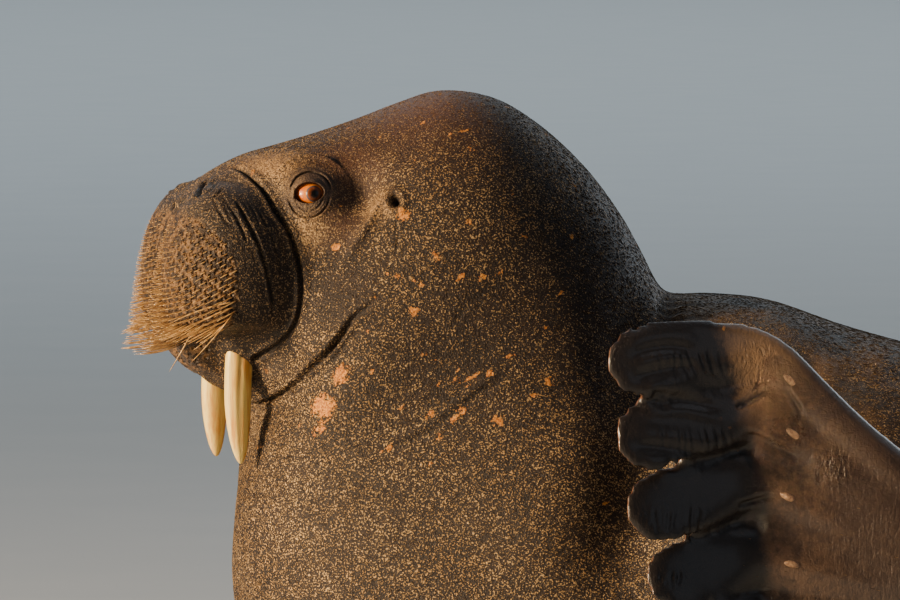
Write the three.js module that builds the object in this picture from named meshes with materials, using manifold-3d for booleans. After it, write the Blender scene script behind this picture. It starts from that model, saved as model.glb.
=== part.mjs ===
import * as THREE from "three";
import Module from "manifold-3d";

const wasm = await Module();
wasm.setup();
const { Manifold, Mesh: SolidMesh } = wasm;

// A young male walrus, life-size, resting on its belly with the head high and the left fore flipper lifted.
// Millimetres and degrees. The head looks along -X, the animal's left side faces -Y, the floor is z = 0.
const GAP = 0.3;
const HEAD_TURN = 14;
const TURN_FROM = 40;
const TURN_TO = 260;
const BEND_FROM = 400;
const BEND_BY = 45;
const BEND_PER = 700;

// Neck and trunk as stations from the snout to the tail root: the point on the back, the point on the throat
// or belly, and half the width between them.
const SNOUT = [-338, 648];
const BODY = [
  { back: [-330, 700], belly: [-314, 575], half: 40 },
  { back: [-312, 731], belly: [-298, 537], half: 68 },
  { back: [-283, 753], belly: [-280, 513], half: 88 },
  { back: [-243, 773], belly: [-260, 501], half: 103 },
  { back: [-200, 785], belly: [-243, 494], half: 115 },
  { back: [-150, 799], belly: [-231, 490], half: 128 },
  { back: [-100, 815], belly: [-225, 487], half: 144 },
  { back: [-50, 833], belly: [-225, 481], half: 161 },
  { back: [-5, 845], belly: [-230, 468], half: 174 },
  { back: [50, 836], belly: [-236, 440], half: 192 },
  { back: [103, 803], belly: [-242, 402], half: 208 },
  { back: [152, 757], belly: [-248, 350], half: 222 },
  { back: [192, 706], belly: [-250, 282], half: 236 },
  { back: [219, 661], belly: [-236, 200], half: 252 },
  { back: [236, 628], belly: [-194, 112], half: 272 },
  { back: [248, 614], belly: [-118, 36], half: 292 },
  { back: [264, 611], belly: [0, -8], half: 308 },
  { back: [300, 612], belly: [140, -12], half: 322 },
  { back: [370, 603], belly: [290, -14], half: 335 },
  { back: [470, 569], belly: [450, -14], half: 345 },
  { back: [620, 533], belly: [620, -14], half: 352 },
  { back: [820, 512], belly: [820, -14], half: 346 },
  { back: [1020, 478], belly: [1020, -14], half: 328 },
  { back: [1220, 425], belly: [1220, -12], half: 296 },
  { back: [1400, 348], belly: [1400, -9], half: 248 },
  { back: [1550, 270], belly: [1550, -6], half: 196 },
  { back: [1670, 205], belly: [1670, -3], half: 146 },
  { back: [1750, 155], belly: [1750, 8], half: 100 },
  { back: [1800, 112], belly: [1800, 28], half: 56 },
];
const TAIL_ROOT = [1822, 68];
const NECK_AT = 9;
const TRUNK_AT = 18;
const AROUND = 24;

// Soft rises and hollows of the head and neck, given for the left side and mirrored.
const FORMS = [
  { at: [-190, -108, 731], rise: 13, spread: 31 },
  { at: [-138, -126, 748], rise: -9, spread: 22 },
  { at: [-236, -100, 716], rise: -5, spread: 20 },
  { at: [-205, -86, 766], rise: 5, spread: 22 },
  { at: [-160, -122, 596], rise: 9, spread: 40 },
  { at: [-150, -160, 505], rise: 9, spread: 48 },
  { at: [250, -150, 560], rise: -12, spread: 60 },
];

// The two halves of the muzzle, each a deep rounded pad that carries the whiskers.
const PAD = { at: [-268, 57, 634], half: [80, 78, 110], inner: 98, square: 2.3 };
const LIP = { from: 594, up: 44, down: 13 };
const WHISKER_ROWS = 10;
const WHISKER_THICK = 2.4;
const WHISKER_LONG = 52;
const WHISKER_SHORT = 5;

// The lower lip and cheeks behind it, as stations along X.
const JAW_TIP = [-308, 543];
const JAW = [
  { back: [-301, 553], belly: [-301, 530], half: 17 },
  { back: [-282, 560], belly: [-282, 512], half: 32 },
  { back: [-256, 562], belly: [-256, 502], half: 40 },
  { back: [-236, 568], belly: [-240, 497], half: 66 },
  { back: [-204, 590], belly: [-226, 496], half: 108 },
  { back: [-172, 622], belly: [-200, 503], half: 131 },
  { back: [-142, 640], belly: [-164, 538], half: 130 },
];
const JAW_END = [-122, 598];

const EYE = { at: [-188, -98.5, 730.5], out: [-0.28, -0.94, 0.18], ball: 19, lid: 2.8, open: [15.5, 11.5] };
const EAR = { at: [-98, -136, 727], pit: 3.6, deep: 9 };
const NOSTRIL = { at: [-304, -22, 742], long: 13, wide: 2.2, slant: 40 };
const TUSK = { root: [-256, 57, 596], tip: [-261, 64, 424], oval: [17, 12.5], bow: 5 };

// A flipper in its own frame: along the hand, towards the first digit, and out of its back.
// Each digit: where it leaves the wrist, its slant near the wrist, before the knuckle and in the bare flap,
// the distance of the knuckle and the whole length.
const RAISED = [
  { from: 48, near: 30, far: 45, flap: -3, knuckle: 330, long: 532 },
  { from: 24, near: 27, far: 37, flap: -12, knuckle: 306, long: 500 },
  { from: 0, near: 20, far: 25, flap: -16, knuckle: 290, long: 462 },
  { from: -24, near: 11, far: 12, flap: -16, knuckle: 270, long: 416 },
  { from: -46, near: 2, far: -1, flap: -15, knuckle: 240, long: 352 },
];
const RESTING = [
  { from: 44, near: 18, far: 16, flap: 18, knuckle: 292, long: 430 },
  { from: 22, near: 9, far: 8, flap: 8, knuckle: 276, long: 404 },
  { from: 0, near: 0, far: 0, flap: 0, knuckle: 258, long: 374 },
  { from: -22, near: -9, far: -9, flap: -10, knuckle: 238, long: 340 },
  { from: -44, near: -18, far: -19, flap: -20, knuckle: 216, long: 302 },
];
const HIND = [
  { from: 30, near: 22, far: 17, flap: 15, knuckle: 262, long: 405 },
  { from: 15, near: 11, far: 9, flap: 8, knuckle: 240, long: 352 },
  { from: 0, near: 0, far: 0, flap: 0, knuckle: 232, long: 332 },
  { from: -15, near: -11, far: -9, flap: -8, knuckle: 240, long: 356 },
  { from: -30, near: -22, far: -17, flap: -15, knuckle: 266, long: 415 },
];
// Half widths and thicknesses of the digits at wrist, mid hand, knuckle and flap; thickness of the palm at its
// two ends and its reach; curl of the tips and sag of the hand; reach of the webs past the knuckles as a share
// of the flaps, their dip between the digits and the hollow of their edge.
const FORE_FORM = {
  wide: [30, 27, 30, 42],
  thick: [27, 20, 15, 5.5],
  palm: [30, 12],
  web: 1.05,
  curl: 36,
  sag: 0,
  sheet: 0.62,
  dip: 8,
  hollow: 26,
  sides: 8,
};
const REST_FORM = {
  wide: [29, 26, 28, 31],
  thick: [27, 19, 14, 6],
  palm: [30, 10],
  web: 1.02,
  curl: 5,
  sag: 8,
  sheet: 0.66,
  dip: 3,
  hollow: 14,
  sides: 6,
};
const HIND_FORM = {
  wide: [22, 21, 24, 31],
  thick: [22, 16, 12, 6],
  palm: [22, 8],
  web: 1.02,
  curl: 7,
  sag: 6,
  sheet: 0.68,
  dip: 3,
  hollow: 16,
  sides: 6,
};
const PRESSED = 0.3;
const CLAW = { long: 19, wide: 8, high: 3.4 };

const RAISED_AT = { at: [606, 436, 312], along: [-0.994, -0.04, 0], back: [-0.04, 0.99, 0.09], first: -1 };
const RESTING_AT = { at: [640, 392, 66], along: [0.66, 0.75, -0.13], back: [0.1, 0.09, 0.99] };
const HIND_AT = { at: [1745, 128, 46], along: [0.965, 0.24, -0.085], back: [0.08, 0.02, 0.996] };

const V3 = (x, y, z) => new THREE.Vector3(x, y, z);
const RAD = Math.PI / 180;
const smooth = (t) => {
  const c = Math.min(Math.max(t, 0), 1);
  return c * c * (3 - 2 * c);
};

// The value of a smooth line through evenly spaced keys.
function through(keys, t) {
  const last = keys.length - 1;
  const i = Math.min(Math.max(Math.floor(t), 0), last - 1);
  const f = t - i;
  const a = keys[Math.max(i - 1, 0)];
  const b = keys[i];
  const c = keys[i + 1];
  const d = keys[Math.min(i + 2, last)];
  return b + 0.5 * f * (c - a + f * (2 * a - 5 * b + 4 * c - d + f * (3 * (b - c) + d - a)));
}

// Turns the straight, mirrored animal into its pose: the head swings to its left, the loins to its right.
function pose(p, rigid = false) {
  const w = rigid ? 1 : smooth((-0.6 * p.x + p.z - 420 - TURN_FROM) / (TURN_TO - TURN_FROM));
  const bend = p.x > BEND_FROM ? BEND_BY * ((p.x - BEND_FROM) / BEND_PER) ** 2 : 0;
  const a = HEAD_TURN * RAD * w;
  const c = Math.cos(a);
  const s = Math.sin(a);
  return V3(p.x * c - p.y * s, p.x * s + p.y * c + bend, p.z);
}

// A closed solid from rings of points and the two points that close its ends.
function skinned(rings, first, last) {
  const n = rings[0].length;
  const pts = [first, ...rings.flat(), last];
  const tri = [];
  const id = (r, k) => 1 + r * n + ((k + n) % n);
  for (let k = 0; k < n; k++) {
    tri.push(0, id(0, k + 1), id(0, k));
    tri.push(pts.length - 1, id(rings.length - 1, k), id(rings.length - 1, k + 1));
    for (let r = 0; r + 1 < rings.length; r++) {
      tri.push(id(r, k), id(r, k + 1), id(r + 1, k));
      tri.push(id(r, k + 1), id(r + 1, k + 1), id(r + 1, k));
    }
  }
  return solid(pts, tri);
}

// The same once each point has gone to its place in the pose.
const swayed = (rings, first, last) =>
  skinned(
    rings.map((ring) => ring.map((p) => pose(p))),
    pose(first),
    pose(last),
  );

function solid(pts, tri) {
  const make = (t) =>
    new Manifold(
      new SolidMesh({
        numProp: 3,
        vertProperties: Float32Array.from(pts.flatMap((p) => [p.x, p.y, p.z])),
        triVerts: Uint32Array.from(t),
      }),
    );
  const made = make(tri);
  if (made.volume() > 0) return made;
  const turned = [];
  for (let i = 0; i < tri.length; i += 3) turned.push(tri[i], tri[i + 2], tri[i + 1]);
  return make(turned);
}

// Rings of a body given by stations of back point, belly point and half width, grown outwards by grow.
function stationRings(list, steps, around, shape, grow) {
  const pick = (f) => list.map(f);
  const keys = [
    pick((s) => s.back[0]),
    pick((s) => s.back[1]),
    pick((s) => s.belly[0]),
    pick((s) => s.belly[1]),
    pick((s) => s.half),
  ];
  const rings = [];
  for (const t of steps) {
    const [bx, bz, vx, vz, half] = keys.map((k) => through(k, t));
    const { wide, top, low } = shape(t);
    const mx = bx + (vx - bx) * wide;
    const mz = bz + (vz - bz) * wide;
    const ring = [];
    for (let k = 0; k < around; k++) {
      const a = (2 * Math.PI * k) / around;
      const n = Math.cos(a) > 0 ? top : low;
      const up = Math.abs(Math.cos(a)) ** (2 / n);
      const side = Math.sign(Math.sin(a)) * Math.abs(Math.sin(a)) ** (2 / n);
      const [ex, ez] = Math.cos(a) > 0 ? [bx, bz] : [vx, vz];
      const dx = ex - mx;
      const dz = ez - mz;
      const g = 1 + grow / Math.hypot(dx, dz);
      ring.push(V3(mx + dx * up * g, side * (half + grow), mz + dz * up * g));
    }
    rings.push(ring);
  }
  return rings;
}

// Moves the points of a grid out or in by the soft forms of the head.
function formed(rings) {
  const n = rings[0].length;
  return rings.map((ring, r) => {
    const before = rings[Math.max(r - 1, 0)];
    const after = rings[Math.min(r + 1, rings.length - 1)];
    return ring.map((p, k) => {
      const along = after[k].clone().sub(before[k]);
      const across = ring[(k + 1) % n].clone().sub(ring[(k + n - 1) % n]);
      const out = along.cross(across).normalize();
      let move = 0;
      for (const f of FORMS) {
        const d2 = (p.x - f.at[0]) ** 2 + (Math.abs(p.y) + f.at[1]) ** 2 + (p.z - f.at[2]) ** 2;
        move += f.rise * Math.exp(-d2 / (2 * f.spread ** 2));
      }
      return p.clone().addScaledVector(out, move);
    });
  });
}

function bodySolid(grow) {
  const steps = [];
  for (let i = 0; i < BODY.length - 1; i++) {
    const parts = i < NECK_AT + 3 ? 2 : 1;
    for (let k = 0; k < parts; k++) steps.push(i + k / parts);
  }
  steps.push(BODY.length - 1);
  const shape = (t) => {
    const trunk = smooth((t - NECK_AT) / (TRUNK_AT - NECK_AT));
    return { wide: 0.51 + 0.06 * trunk, top: 2.45 - 0.2 * trunk, low: 2.2 + 0.8 * trunk };
  };
  const rings = formed(stationRings(BODY, steps, AROUND, shape, grow));
  const posed = rings.map((r) => r.map((p) => pose(p)));
  return skinned(
    posed,
    pose(V3(SNOUT[0] - grow, 0, SNOUT[1])),
    pose(V3(TAIL_ROOT[0] + grow, 0, TAIL_ROOT[1])),
  );
}

function jawSolid(grow) {
  const steps = [];
  for (let t = 0; t <= JAW.length - 1; t++) steps.push(t);
  const shape = () => ({ wide: 0.5, top: 2.4, low: 2.4 });
  const rings = stationRings(JAW, steps, 16, shape, grow).map((r) => r.map((p) => pose(p, true)));
  return skinned(
    rings,
    pose(V3(JAW_TIP[0] - grow, 0, JAW_TIP[1]), true),
    pose(V3(JAW_END[0] + grow, 0, JAW_END[1]), true),
  );
}

// A point of one muzzle pad: fore is the angle from its front, turn the angle round it from straight up.
// Its lower edge hangs between the tusks and is drawn up over the outer side of each.
function padPoint(side, fore, turn, grow) {
  const e = 2 / PAD.square;
  const bend = (v) => Math.sign(v) * Math.abs(v) ** e;
  const r = bend(Math.sin(fore));
  const out = PAD.at[1] + ((Math.sin(turn) > 0 ? PAD.half[1] : PAD.inner) + grow) * r * bend(Math.sin(turn));
  const z = PAD.at[2] + (PAD.half[2] + grow) * r * bend(Math.cos(turn));
  const drawn = LIP.up * smooth((out - 42) / 24) * smooth((LIP.from - z) / 66);
  const hung = LIP.down * smooth((42 - out) / 26) * smooth((LIP.from - z) / 70);
  return V3(PAD.at[0] - (PAD.half[0] + grow) * bend(Math.cos(fore)), side * out, z + drawn - hung);
}

function padSolid(side, grow) {
  const rings = [];
  const n = 20;
  for (let i = 1; i < 10; i++) {
    const ring = [];
    for (let k = 0; k < n; k++)
      ring.push(pose(padPoint(side, (Math.PI * i) / 11, (2 * Math.PI * k) / n, grow), true));
    rings.push(ring);
  }
  return skinned(
    rings,
    pose(padPoint(side, 0, 0, grow), true),
    pose(padPoint(side, Math.PI, 0, grow), true),
  );
}

// One stiff bristle: root, direction, curve and length; three-sided, thinning to a point.
function whisker(root, out, droop, long, thick) {
  const parts = long > 34 ? 2 : long > 14 ? 1 : 0;
  const rings = [];
  const side = out.clone().cross(V3(0.1, 0.2, 1)).normalize();
  let tip = null;
  for (let i = 0; i <= parts + 1; i++) {
    const t = i / (parts + 1);
    const way = out.clone().addScaledVector(droop, t * 0.5).normalize();
    const p = root.clone().addScaledVector(way, long * t - (i ? 0 : 5));
    const r = (thick / 2) * (1 - 0.55 * t);
    if (i > parts) {
      tip = p;
      break;
    }
    const up = way.clone().cross(side).normalize();
    const ring = [];
    for (let k = 0; k < 3; k++) {
      const a = (2 * Math.PI * k) / 3;
      ring.push(
        p
          .clone()
          .addScaledVector(side, r * Math.cos(a))
          .addScaledVector(up, r * Math.sin(a)),
      );
    }
    rings.push(ring);
  }
  const pts = [...rings.flat(), tip];
  const tri = [0, 1, 2];
  for (let r = 0; r + 1 < rings.length; r++)
    for (let k = 0; k < 3; k++) {
      const a = r * 3 + k;
      const b = r * 3 + ((k + 1) % 3);
      tri.push(a, a + 3, b, b, a + 3, b + 3);
    }
  const e = (rings.length - 1) * 3;
  for (let k = 0; k < 3; k++) tri.push(e + k, pts.length - 1, e + ((k + 1) % 3));
  return solid(pts, tri);
}

// The rows run round the front of the pad from the nose down to the lip; the lower the row, the longer.
function whiskers(side) {
  const made = [];
  for (let row = 0; row < WHISKER_ROWS; row++) {
    const low = row / (WHISKER_ROWS - 1);
    const z = 0.62 - 1.42 * low;
    const count = Math.round(4.8 + 3.6 * Math.sin(Math.PI * Math.min(low + 0.2, 1)));
    for (let i = 0; i < count; i++) {
      const across = -0.55 + (1.42 * (i + 0.5 * (row % 2))) / count;
      if (z * z + across * across > 0.93 || z - across > 1) continue;
      const fore = Math.asin(Math.min(Math.hypot(z, across) ** (PAD.square / 2), 0.97));
      const turn = Math.atan2(across, z);
      const root = padPoint(side, fore, turn, -1);
      if (side * root.y < 11) continue;
      const out = root
        .clone()
        .sub(V3(PAD.at[0], side * PAD.at[1], PAD.at[2]))
        .divide(V3(...PAD.half))
        .divide(V3(...PAD.half))
        .normalize();
      const way = out.clone().add(V3(-0.75, side * 0.1, -0.3 - 0.35 * low)).normalize();
      const outer = smooth((across + 0.1) / 0.7);
      const long = WHISKER_SHORT + (WHISKER_LONG - WHISKER_SHORT) * low ** 1.5 * (0.72 + 0.28 * outer);
      const droop = V3(-0.9, side * 0.15, 0.25);
      const lie = (v) => pose(v.clone(), true).sub(pose(V3(0, 0, 0), true));
      made.push(whisker(pose(root, true), lie(way), lie(droop), long, WHISKER_THICK));
    }
  }
  return made;
}

function tuskSolid(side, grow) {
  const rings = [];
  const n = 12;
  const at = (t) =>
    V3(
      TUSK.root[0] + (TUSK.tip[0] - TUSK.root[0]) * t - TUSK.bow * Math.sin(Math.PI * t),
      side * (TUSK.root[1] + (TUSK.tip[1] - TUSK.root[1]) * t),
      TUSK.root[2] + (TUSK.tip[2] - TUSK.root[2]) * t,
    );
  const steps = [0, 0.26, 0.5, 0.68, 0.82, 0.91, 0.965];
  for (const t of steps) {
    const c = at(t);
    const r = (1 - 0.16 * t) * (1 - Math.max(0, (t - 0.52) / 0.48) ** 2.1) ** 0.62;
    const ring = [];
    for (let k = 0; k < n; k++) {
      const a = (2 * Math.PI * k) / n;
      const groove = 1 - 0.07 * Math.exp(-(((a - 1.5 * Math.PI) / 0.3) ** 2));
      ring.push(
        pose(
          V3(
            c.x + (TUSK.oval[0] * r * groove + grow) * Math.cos(a),
            c.y - side * (TUSK.oval[1] * r * groove + grow) * Math.sin(a),
            c.z,
          ),
          true,
        ),
      );
    }
    rings.push(ring);
  }
  const top = at(0);
  const end = at(1);
  return skinned(
    rings,
    pose(V3(top.x, top.y, top.z + grow), true),
    pose(V3(end.x, end.y, end.z - grow), true),
  );
}

// A short round form about an axis: radius at steps along it.
function turned(at, axis, profile, n, oval = 1, upHint = V3(0, 0, 1)) {
  const z = axis.clone().normalize();
  const x = upHint.clone().cross(z).normalize();
  const y = z.clone().cross(x);
  const ring = ([h, r]) => {
    const pts = [];
    for (let k = 0; k < n; k++) {
      const a = (2 * Math.PI * k) / n;
      pts.push(
        at
          .clone()
          .addScaledVector(z, h)
          .addScaledVector(x, r * Math.cos(a))
          .addScaledVector(y, r * oval * Math.sin(a)),
      );
    }
    return pts;
  };
  const inner = profile.slice(1, -1).map(ring);
  return skinned(
    inner,
    at.clone().addScaledVector(z, profile[0][0]),
    at.clone().addScaledVector(z, profile[profile.length - 1][0]),
  );
}

const mirrored = (v, side) => V3(v[0], v[1] * -side, v[2]);
const headWay = (v, side) => pose(mirrored(v, side), true).sub(pose(V3(0, 0, 0), true)).normalize();

function ballSolid(side, grow) {
  const r = EYE.ball + grow;
  const profile = [];
  for (let i = 0; i <= 8; i++) {
    const a = (Math.PI * i) / 8;
    const cornea = 1.6 * Math.exp(-(((Math.PI - a) / 0.42) ** 2));
    profile.push([-(r + cornea) * Math.cos(a), r * Math.sin(a)]);
  }
  return turned(pose(mirrored(EYE.at, side), true), headWay(EYE.out, side), profile, 12);
}

// The lids as one thin cap over the ball, before the opening is cut.
function lidCap(side) {
  const r = EYE.ball + EYE.lid;
  const profile = [];
  profile.push([-3, 0]);
  for (let i = 4; i <= 8; i++) profile.push([-r * Math.cos((Math.PI * i) / 8), r * Math.sin((Math.PI * i) / 8)]);
  return turned(pose(mirrored(EYE.at, side), true), headWay(EYE.out, side), profile, 14);
}

// The opening between the lids, from the middle of the ball outwards.
function lidOpening(side) {
  const [a, b] = EYE.open;
  const profile = [
    [2, 0],
    [2, a * 0.9],
    [19, a],
    [60, a * 1.5],
    [60, 0],
  ];
  return turned(pose(mirrored(EYE.at, side), true), headWay(EYE.out, side), profile, 14, b / a);
}

function earPit(side) {
  const way = headWay([0.25, -0.95, 0.15], side);
  const profile = [
    [-EAR.deep, 0],
    [-EAR.deep, EAR.pit * 0.5],
    [2, EAR.pit],
    [30, EAR.pit * 2.4],
    [30, 0],
  ];
  return turned(pose(mirrored(EAR.at, side), true), way, profile, 10);
}

// A nostril: a narrow crescent slot that slants out and back.
function nostrilSlot(side) {
  const rings = [];
  const c = V3(NOSTRIL.at[0], side * -NOSTRIL.at[1], NOSTRIL.at[2]);
  for (let i = 0; i <= 4; i++) {
    const t = i / 4 - 0.5;
    const x = c.x + 2 * NOSTRIL.long * t * Math.cos(NOSTRIL.slant * RAD);
    const y = c.y + side * (4 - 16 * t * t + 10 * t);
    const z = c.z + 2 * NOSTRIL.long * t * Math.sin(NOSTRIL.slant * RAD) * 0.6;
    const r = NOSTRIL.wide * (1.15 - 3 * t * t);
    const ring = [];
    for (let k = 0; k < 6; k++) {
      const a = (2 * Math.PI * k) / 6;
      ring.push(pose(V3(x - 14 * Math.sin(a) * 0.62, y + r * Math.cos(a), z + 14 * Math.sin(a)), true));
    }
    rings.push(ring);
  }
  const mid = (ring) => ring.reduce((s, p) => s.add(p), V3(0, 0, 0)).divideScalar(ring.length);
  return skinned(rings, mid(rings[0]), mid(rings[4]));
}

// The middle line of one digit in the flipper's own frame, with its directions, at s along it.
function digitLine(d, form, steps) {
  const out = [];
  let u = 0;
  let v = d.from;
  let n = 0;
  let was = 0;
  for (const s of steps) {
    const parts = 6;
    for (let i = 0; i < parts && s > was; i++) {
      const m = was + ((s - was) * (i + 0.5)) / parts;
      const { way } = digitWay(d, form, m);
      u += (way.x * (s - was)) / parts;
      v += (way.y * (s - was)) / parts;
      n += (way.z * (s - was)) / parts;
    }
    was = s;
    const { way, side, up } = digitWay(d, form, s);
    out.push({ at: V3(u, v, n), way, side, up });
  }
  return out;
}

function digitWay(d, form, s) {
  const before = d.near + (d.far - d.near) * smooth(s / (d.knuckle * 0.9));
  const bent = smooth((s - d.knuckle + 34) / 84);
  const end = smooth((s - d.knuckle - 60) / (d.long - d.knuckle - 60));
  const a = (before + (d.flap - before) * bent + form.endTurn * end) * RAD;
  const e = (form.curl * bent * (1 - 0.35 * end) - form.sag * (1 - bent)) * RAD;
  const way = V3(Math.cos(a) * Math.cos(e), Math.sin(a) * Math.cos(e), Math.sin(e));
  const side = V3(-Math.sin(a), Math.cos(a), 0);
  return { way, side, up: way.clone().cross(side) };
}

function digitSize(d, form, s) {
  const t = s < d.knuckle ? (2 * s) / d.knuckle : 2 + (s - d.knuckle) / (0.55 * (d.long - d.knuckle));
  const c = Math.min(t, 3);
  const end = Math.max(0, (s - (d.long - 46)) / 46);
  const round = Math.sqrt(Math.max(1 - end ** 2.3, 0));
  return [
    through(form.wide, c) * round,
    through(form.thick, c) * (0.45 + 0.55 * round),
  ];
}

// How far a limb's ring is lifted so that it lies on the floor, given the height of its middle and its half
// thickness; PRESSED of that half is pressed into the floor and makes the flat.
const laid = (z, half) => Math.max(0, half * (1 - PRESSED) - z);

function digitSolid(d, form, place) {
  const k = d.knuckle;
  const l = d.long;
  const root = Math.abs(d.from) > 27 ? [0] : [];
  const steps = [...root, k * 0.45, k * 0.82, k, k + 34, l - 46, l - 22, l - 7];
  const line = digitLine(d, form, steps);
  const n = form.sides;
  const rings = line.map((c, i) => {
    const [w, h] = digitSize(d, form, steps[i]);
    const lift = laid(c.at.clone().applyMatrix4(place).z, h);
    const ring = [];
    for (let j = 0; j < n; j++) {
      const a = (2 * Math.PI * j) / n;
      ring.push(
        c.at
          .clone()
          .addScaledVector(c.side, w * Math.cos(a))
          .addScaledVector(c.up, h * Math.sin(a))
          .applyMatrix4(place)
          .add(V3(0, 0, lift)),
      );
    }
    return ring;
  });
  const start = line[0].at.clone().applyMatrix4(place);
  const last = line[line.length - 1];
  const tip = last.at.clone().addScaledVector(last.way, 2).applyMatrix4(place);
  tip.z += laid(tip.z, digitSize(d, form, l - 7)[1]);
  return swayed(rings, start, tip);
}

// The hand between the digits, from just behind the wrist to the knuckles.
function palmSolid(digits, form, place) {
  const first = digits[0];
  const fifth = digits[digits.length - 1];
  const rings = [];
  const n = 10;
  const steps = [0, 0.35, 0.7, 0.96, form.web];
  const a = digitLine(first, form, steps.map((t) => t * first.knuckle));
  const b = digitLine(fifth, form, steps.map((t) => t * fifth.knuckle));
  for (let i = 0; i < steps.length; i++) {
    const c = a[i].at.clone().add(b[i].at).multiplyScalar(0.5);
    const half = a[i].at.clone().sub(b[i].at).multiplyScalar(0.5);
    const up = a[i].up.clone().add(b[i].up).normalize();
    const thick = form.palm[0] + (form.palm[1] - form.palm[0]) * smooth(steps[i] / form.web);
    const lift = laid(c.clone().applyMatrix4(place).z, thick);
    const ring = [];
    for (let j = 0; j < n; j++) {
      const t = (2 * Math.PI * j) / n;
      const across = Math.sign(Math.cos(t)) * Math.abs(Math.cos(t)) ** 0.7;
      ring.push(
        c
          .clone()
          .addScaledVector(half, across * (i === steps.length - 1 ? 0.9 : 1))
          .addScaledVector(up, Math.sin(t) * thick * (i === steps.length - 1 ? 0.55 : 1))
          .applyMatrix4(place)
          .add(V3(0, 0, lift)),
      );
    }
    rings.push(ring);
  }
  const mean = (ring) => ring.reduce((s, p) => s.add(p), V3(0, 0, 0)).divideScalar(ring.length);
  return swayed(rings, mean(rings[0]), mean(rings[steps.length - 1]));
}

// The web between two neighbouring digits: a thin sheet that sags between them and ends in a hollow edge.
function webSolid(one, two, form, place) {
  const n = form.sides;
  const reach = (d, f) => (f < 1 ? f * d.knuckle : d.knuckle + (f - 1) * (d.long - d.knuckle));
  const steps = [0.85, 1.06, 1 + form.sheet * 0.55, 1 + form.sheet];
  const a = digitLine(one, form, steps.map((f) => reach(one, f)));
  const b = digitLine(two, form, steps.map((f) => reach(two, f)));
  const rings = steps.map((f, i) => {
    const c = a[i].at.clone().add(b[i].at).multiplyScalar(0.5);
    const half = a[i].at.clone().sub(b[i].at).multiplyScalar(0.5);
    const up = a[i].up.clone().add(b[i].up).normalize();
    const way = a[i].way.clone().add(b[i].way).normalize();
    const open = smooth((f - 0.85) / 0.3);
    const thick = 9 - 5 * open;
    const lift = laid(c.clone().applyMatrix4(place).z, thick + form.dip);
    const ring = [];
    for (let j = 0; j < n; j++) {
      const t = (2 * Math.PI * (j + 0.5)) / n;
      const s = Math.cos(t) / Math.cos(Math.PI / n);
      const bow = 1 - s * s;
      ring.push(
        c
          .clone()
          .addScaledVector(half, s * 0.96)
          .addScaledVector(up, Math.sin(t) * thick - form.dip * open * bow)
          .addScaledVector(way, i === steps.length - 1 ? -form.hollow * bow : 0)
          .applyMatrix4(place)
          .add(V3(0, 0, lift)),
      );
    }
    return ring;
  });
  const mean = (ring) => ring.reduce((s, p) => s.add(p), V3(0, 0, 0)).divideScalar(ring.length);
  return swayed(rings, mean(rings[0]), mean(rings[steps.length - 1]));
}

function clawSolid(d, form, place, grow) {
  const s = d.knuckle - 34;
  const [c] = digitLine(d, form, [s]);
  const [, high] = digitSize(d, form, s);
  const at = c.at.clone().addScaledVector(c.up, high - 0.4);
  const lift = laid(c.at.clone().applyMatrix4(place).z, high);
  const way = c.way.clone().addScaledVector(c.up, 0.12).normalize();
  const rings = [];
  const sizes = [
    [-0.5, 0.62, 0.7],
    [0.25, 0.8, 0.95],
  ];
  const n = 5;
  for (const [h, w, t] of sizes) {
    const ring = [];
    for (let k = 0; k < n; k++) {
      const a = (2 * Math.PI * k) / n;
      ring.push(
        at
          .clone()
          .addScaledVector(way, CLAW.long * h)
          .addScaledVector(c.side, ((CLAW.wide / 2) * w + grow) * Math.cos(a))
          .addScaledVector(c.up, (CLAW.high * t + grow) * Math.sin(a))
          .applyMatrix4(place)
          .add(V3(0, 0, lift)),
      );
    }
    rings.push(ring);
  }
  const end = (h, g) =>
    at
      .clone()
      .addScaledVector(way, CLAW.long * h + g)
      .applyMatrix4(place)
      .add(V3(0, 0, lift));
  return swayed(rings, end(-0.62, -grow), end(0.55, grow));
}

// From a flipper's own frame to the animal: where the wrist is, the way along the hand and out of its back.
function placed(spec, side) {
  const flip = (v) => V3(v[0], v[1] * side, v[2]);
  const u = flip(spec.along).normalize();
  const n = flip(spec.back);
  n.addScaledVector(u, -n.dot(u)).normalize();
  const v = n.clone().cross(u).multiplyScalar(spec.first ?? 1);
  return new THREE.Matrix4().makeBasis(u, v, n).setPosition(flip(spec.at));
}

// A limb's upper length as an oval tube through given middle points.
function limbSolid(points, side) {
  const rings = [];
  const n = 12;
  const at = (t, i) => through(points.map((p) => p[i]), t);
  const steps = [];
  for (let t = 0; t <= points.length - 1.001; t += 0.5) steps.push(t);
  steps.push(points.length - 1);
  const place = (t) => V3(at(t, 0), at(t, 1) * side, at(t, 2));
  for (const t of steps) {
    const c = place(t);
    const way = place(Math.min(t + 0.1, points.length - 1)).sub(place(Math.max(t - 0.1, 0))).normalize();
    const up = V3(0, 0, 1).addScaledVector(way, -way.z).normalize();
    const out = up.clone().cross(way);
    const roll = at(t, 5) * RAD * side;
    const ring = [];
    for (let k = 0; k < n; k++) {
      const a = (2 * Math.PI * k) / n;
      const x = at(t, 3) * Math.cos(a);
      const y = at(t, 4) * Math.sin(a);
      ring.push(
        c
          .clone()
          .addScaledVector(up, x * Math.cos(roll) - y * Math.sin(roll))
          .addScaledVector(out, x * Math.sin(roll) + y * Math.cos(roll)),
      );
    }
    rings.push(ring);
  }
  return swayed(rings, place(0), place(points.length - 1));
}

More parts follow.
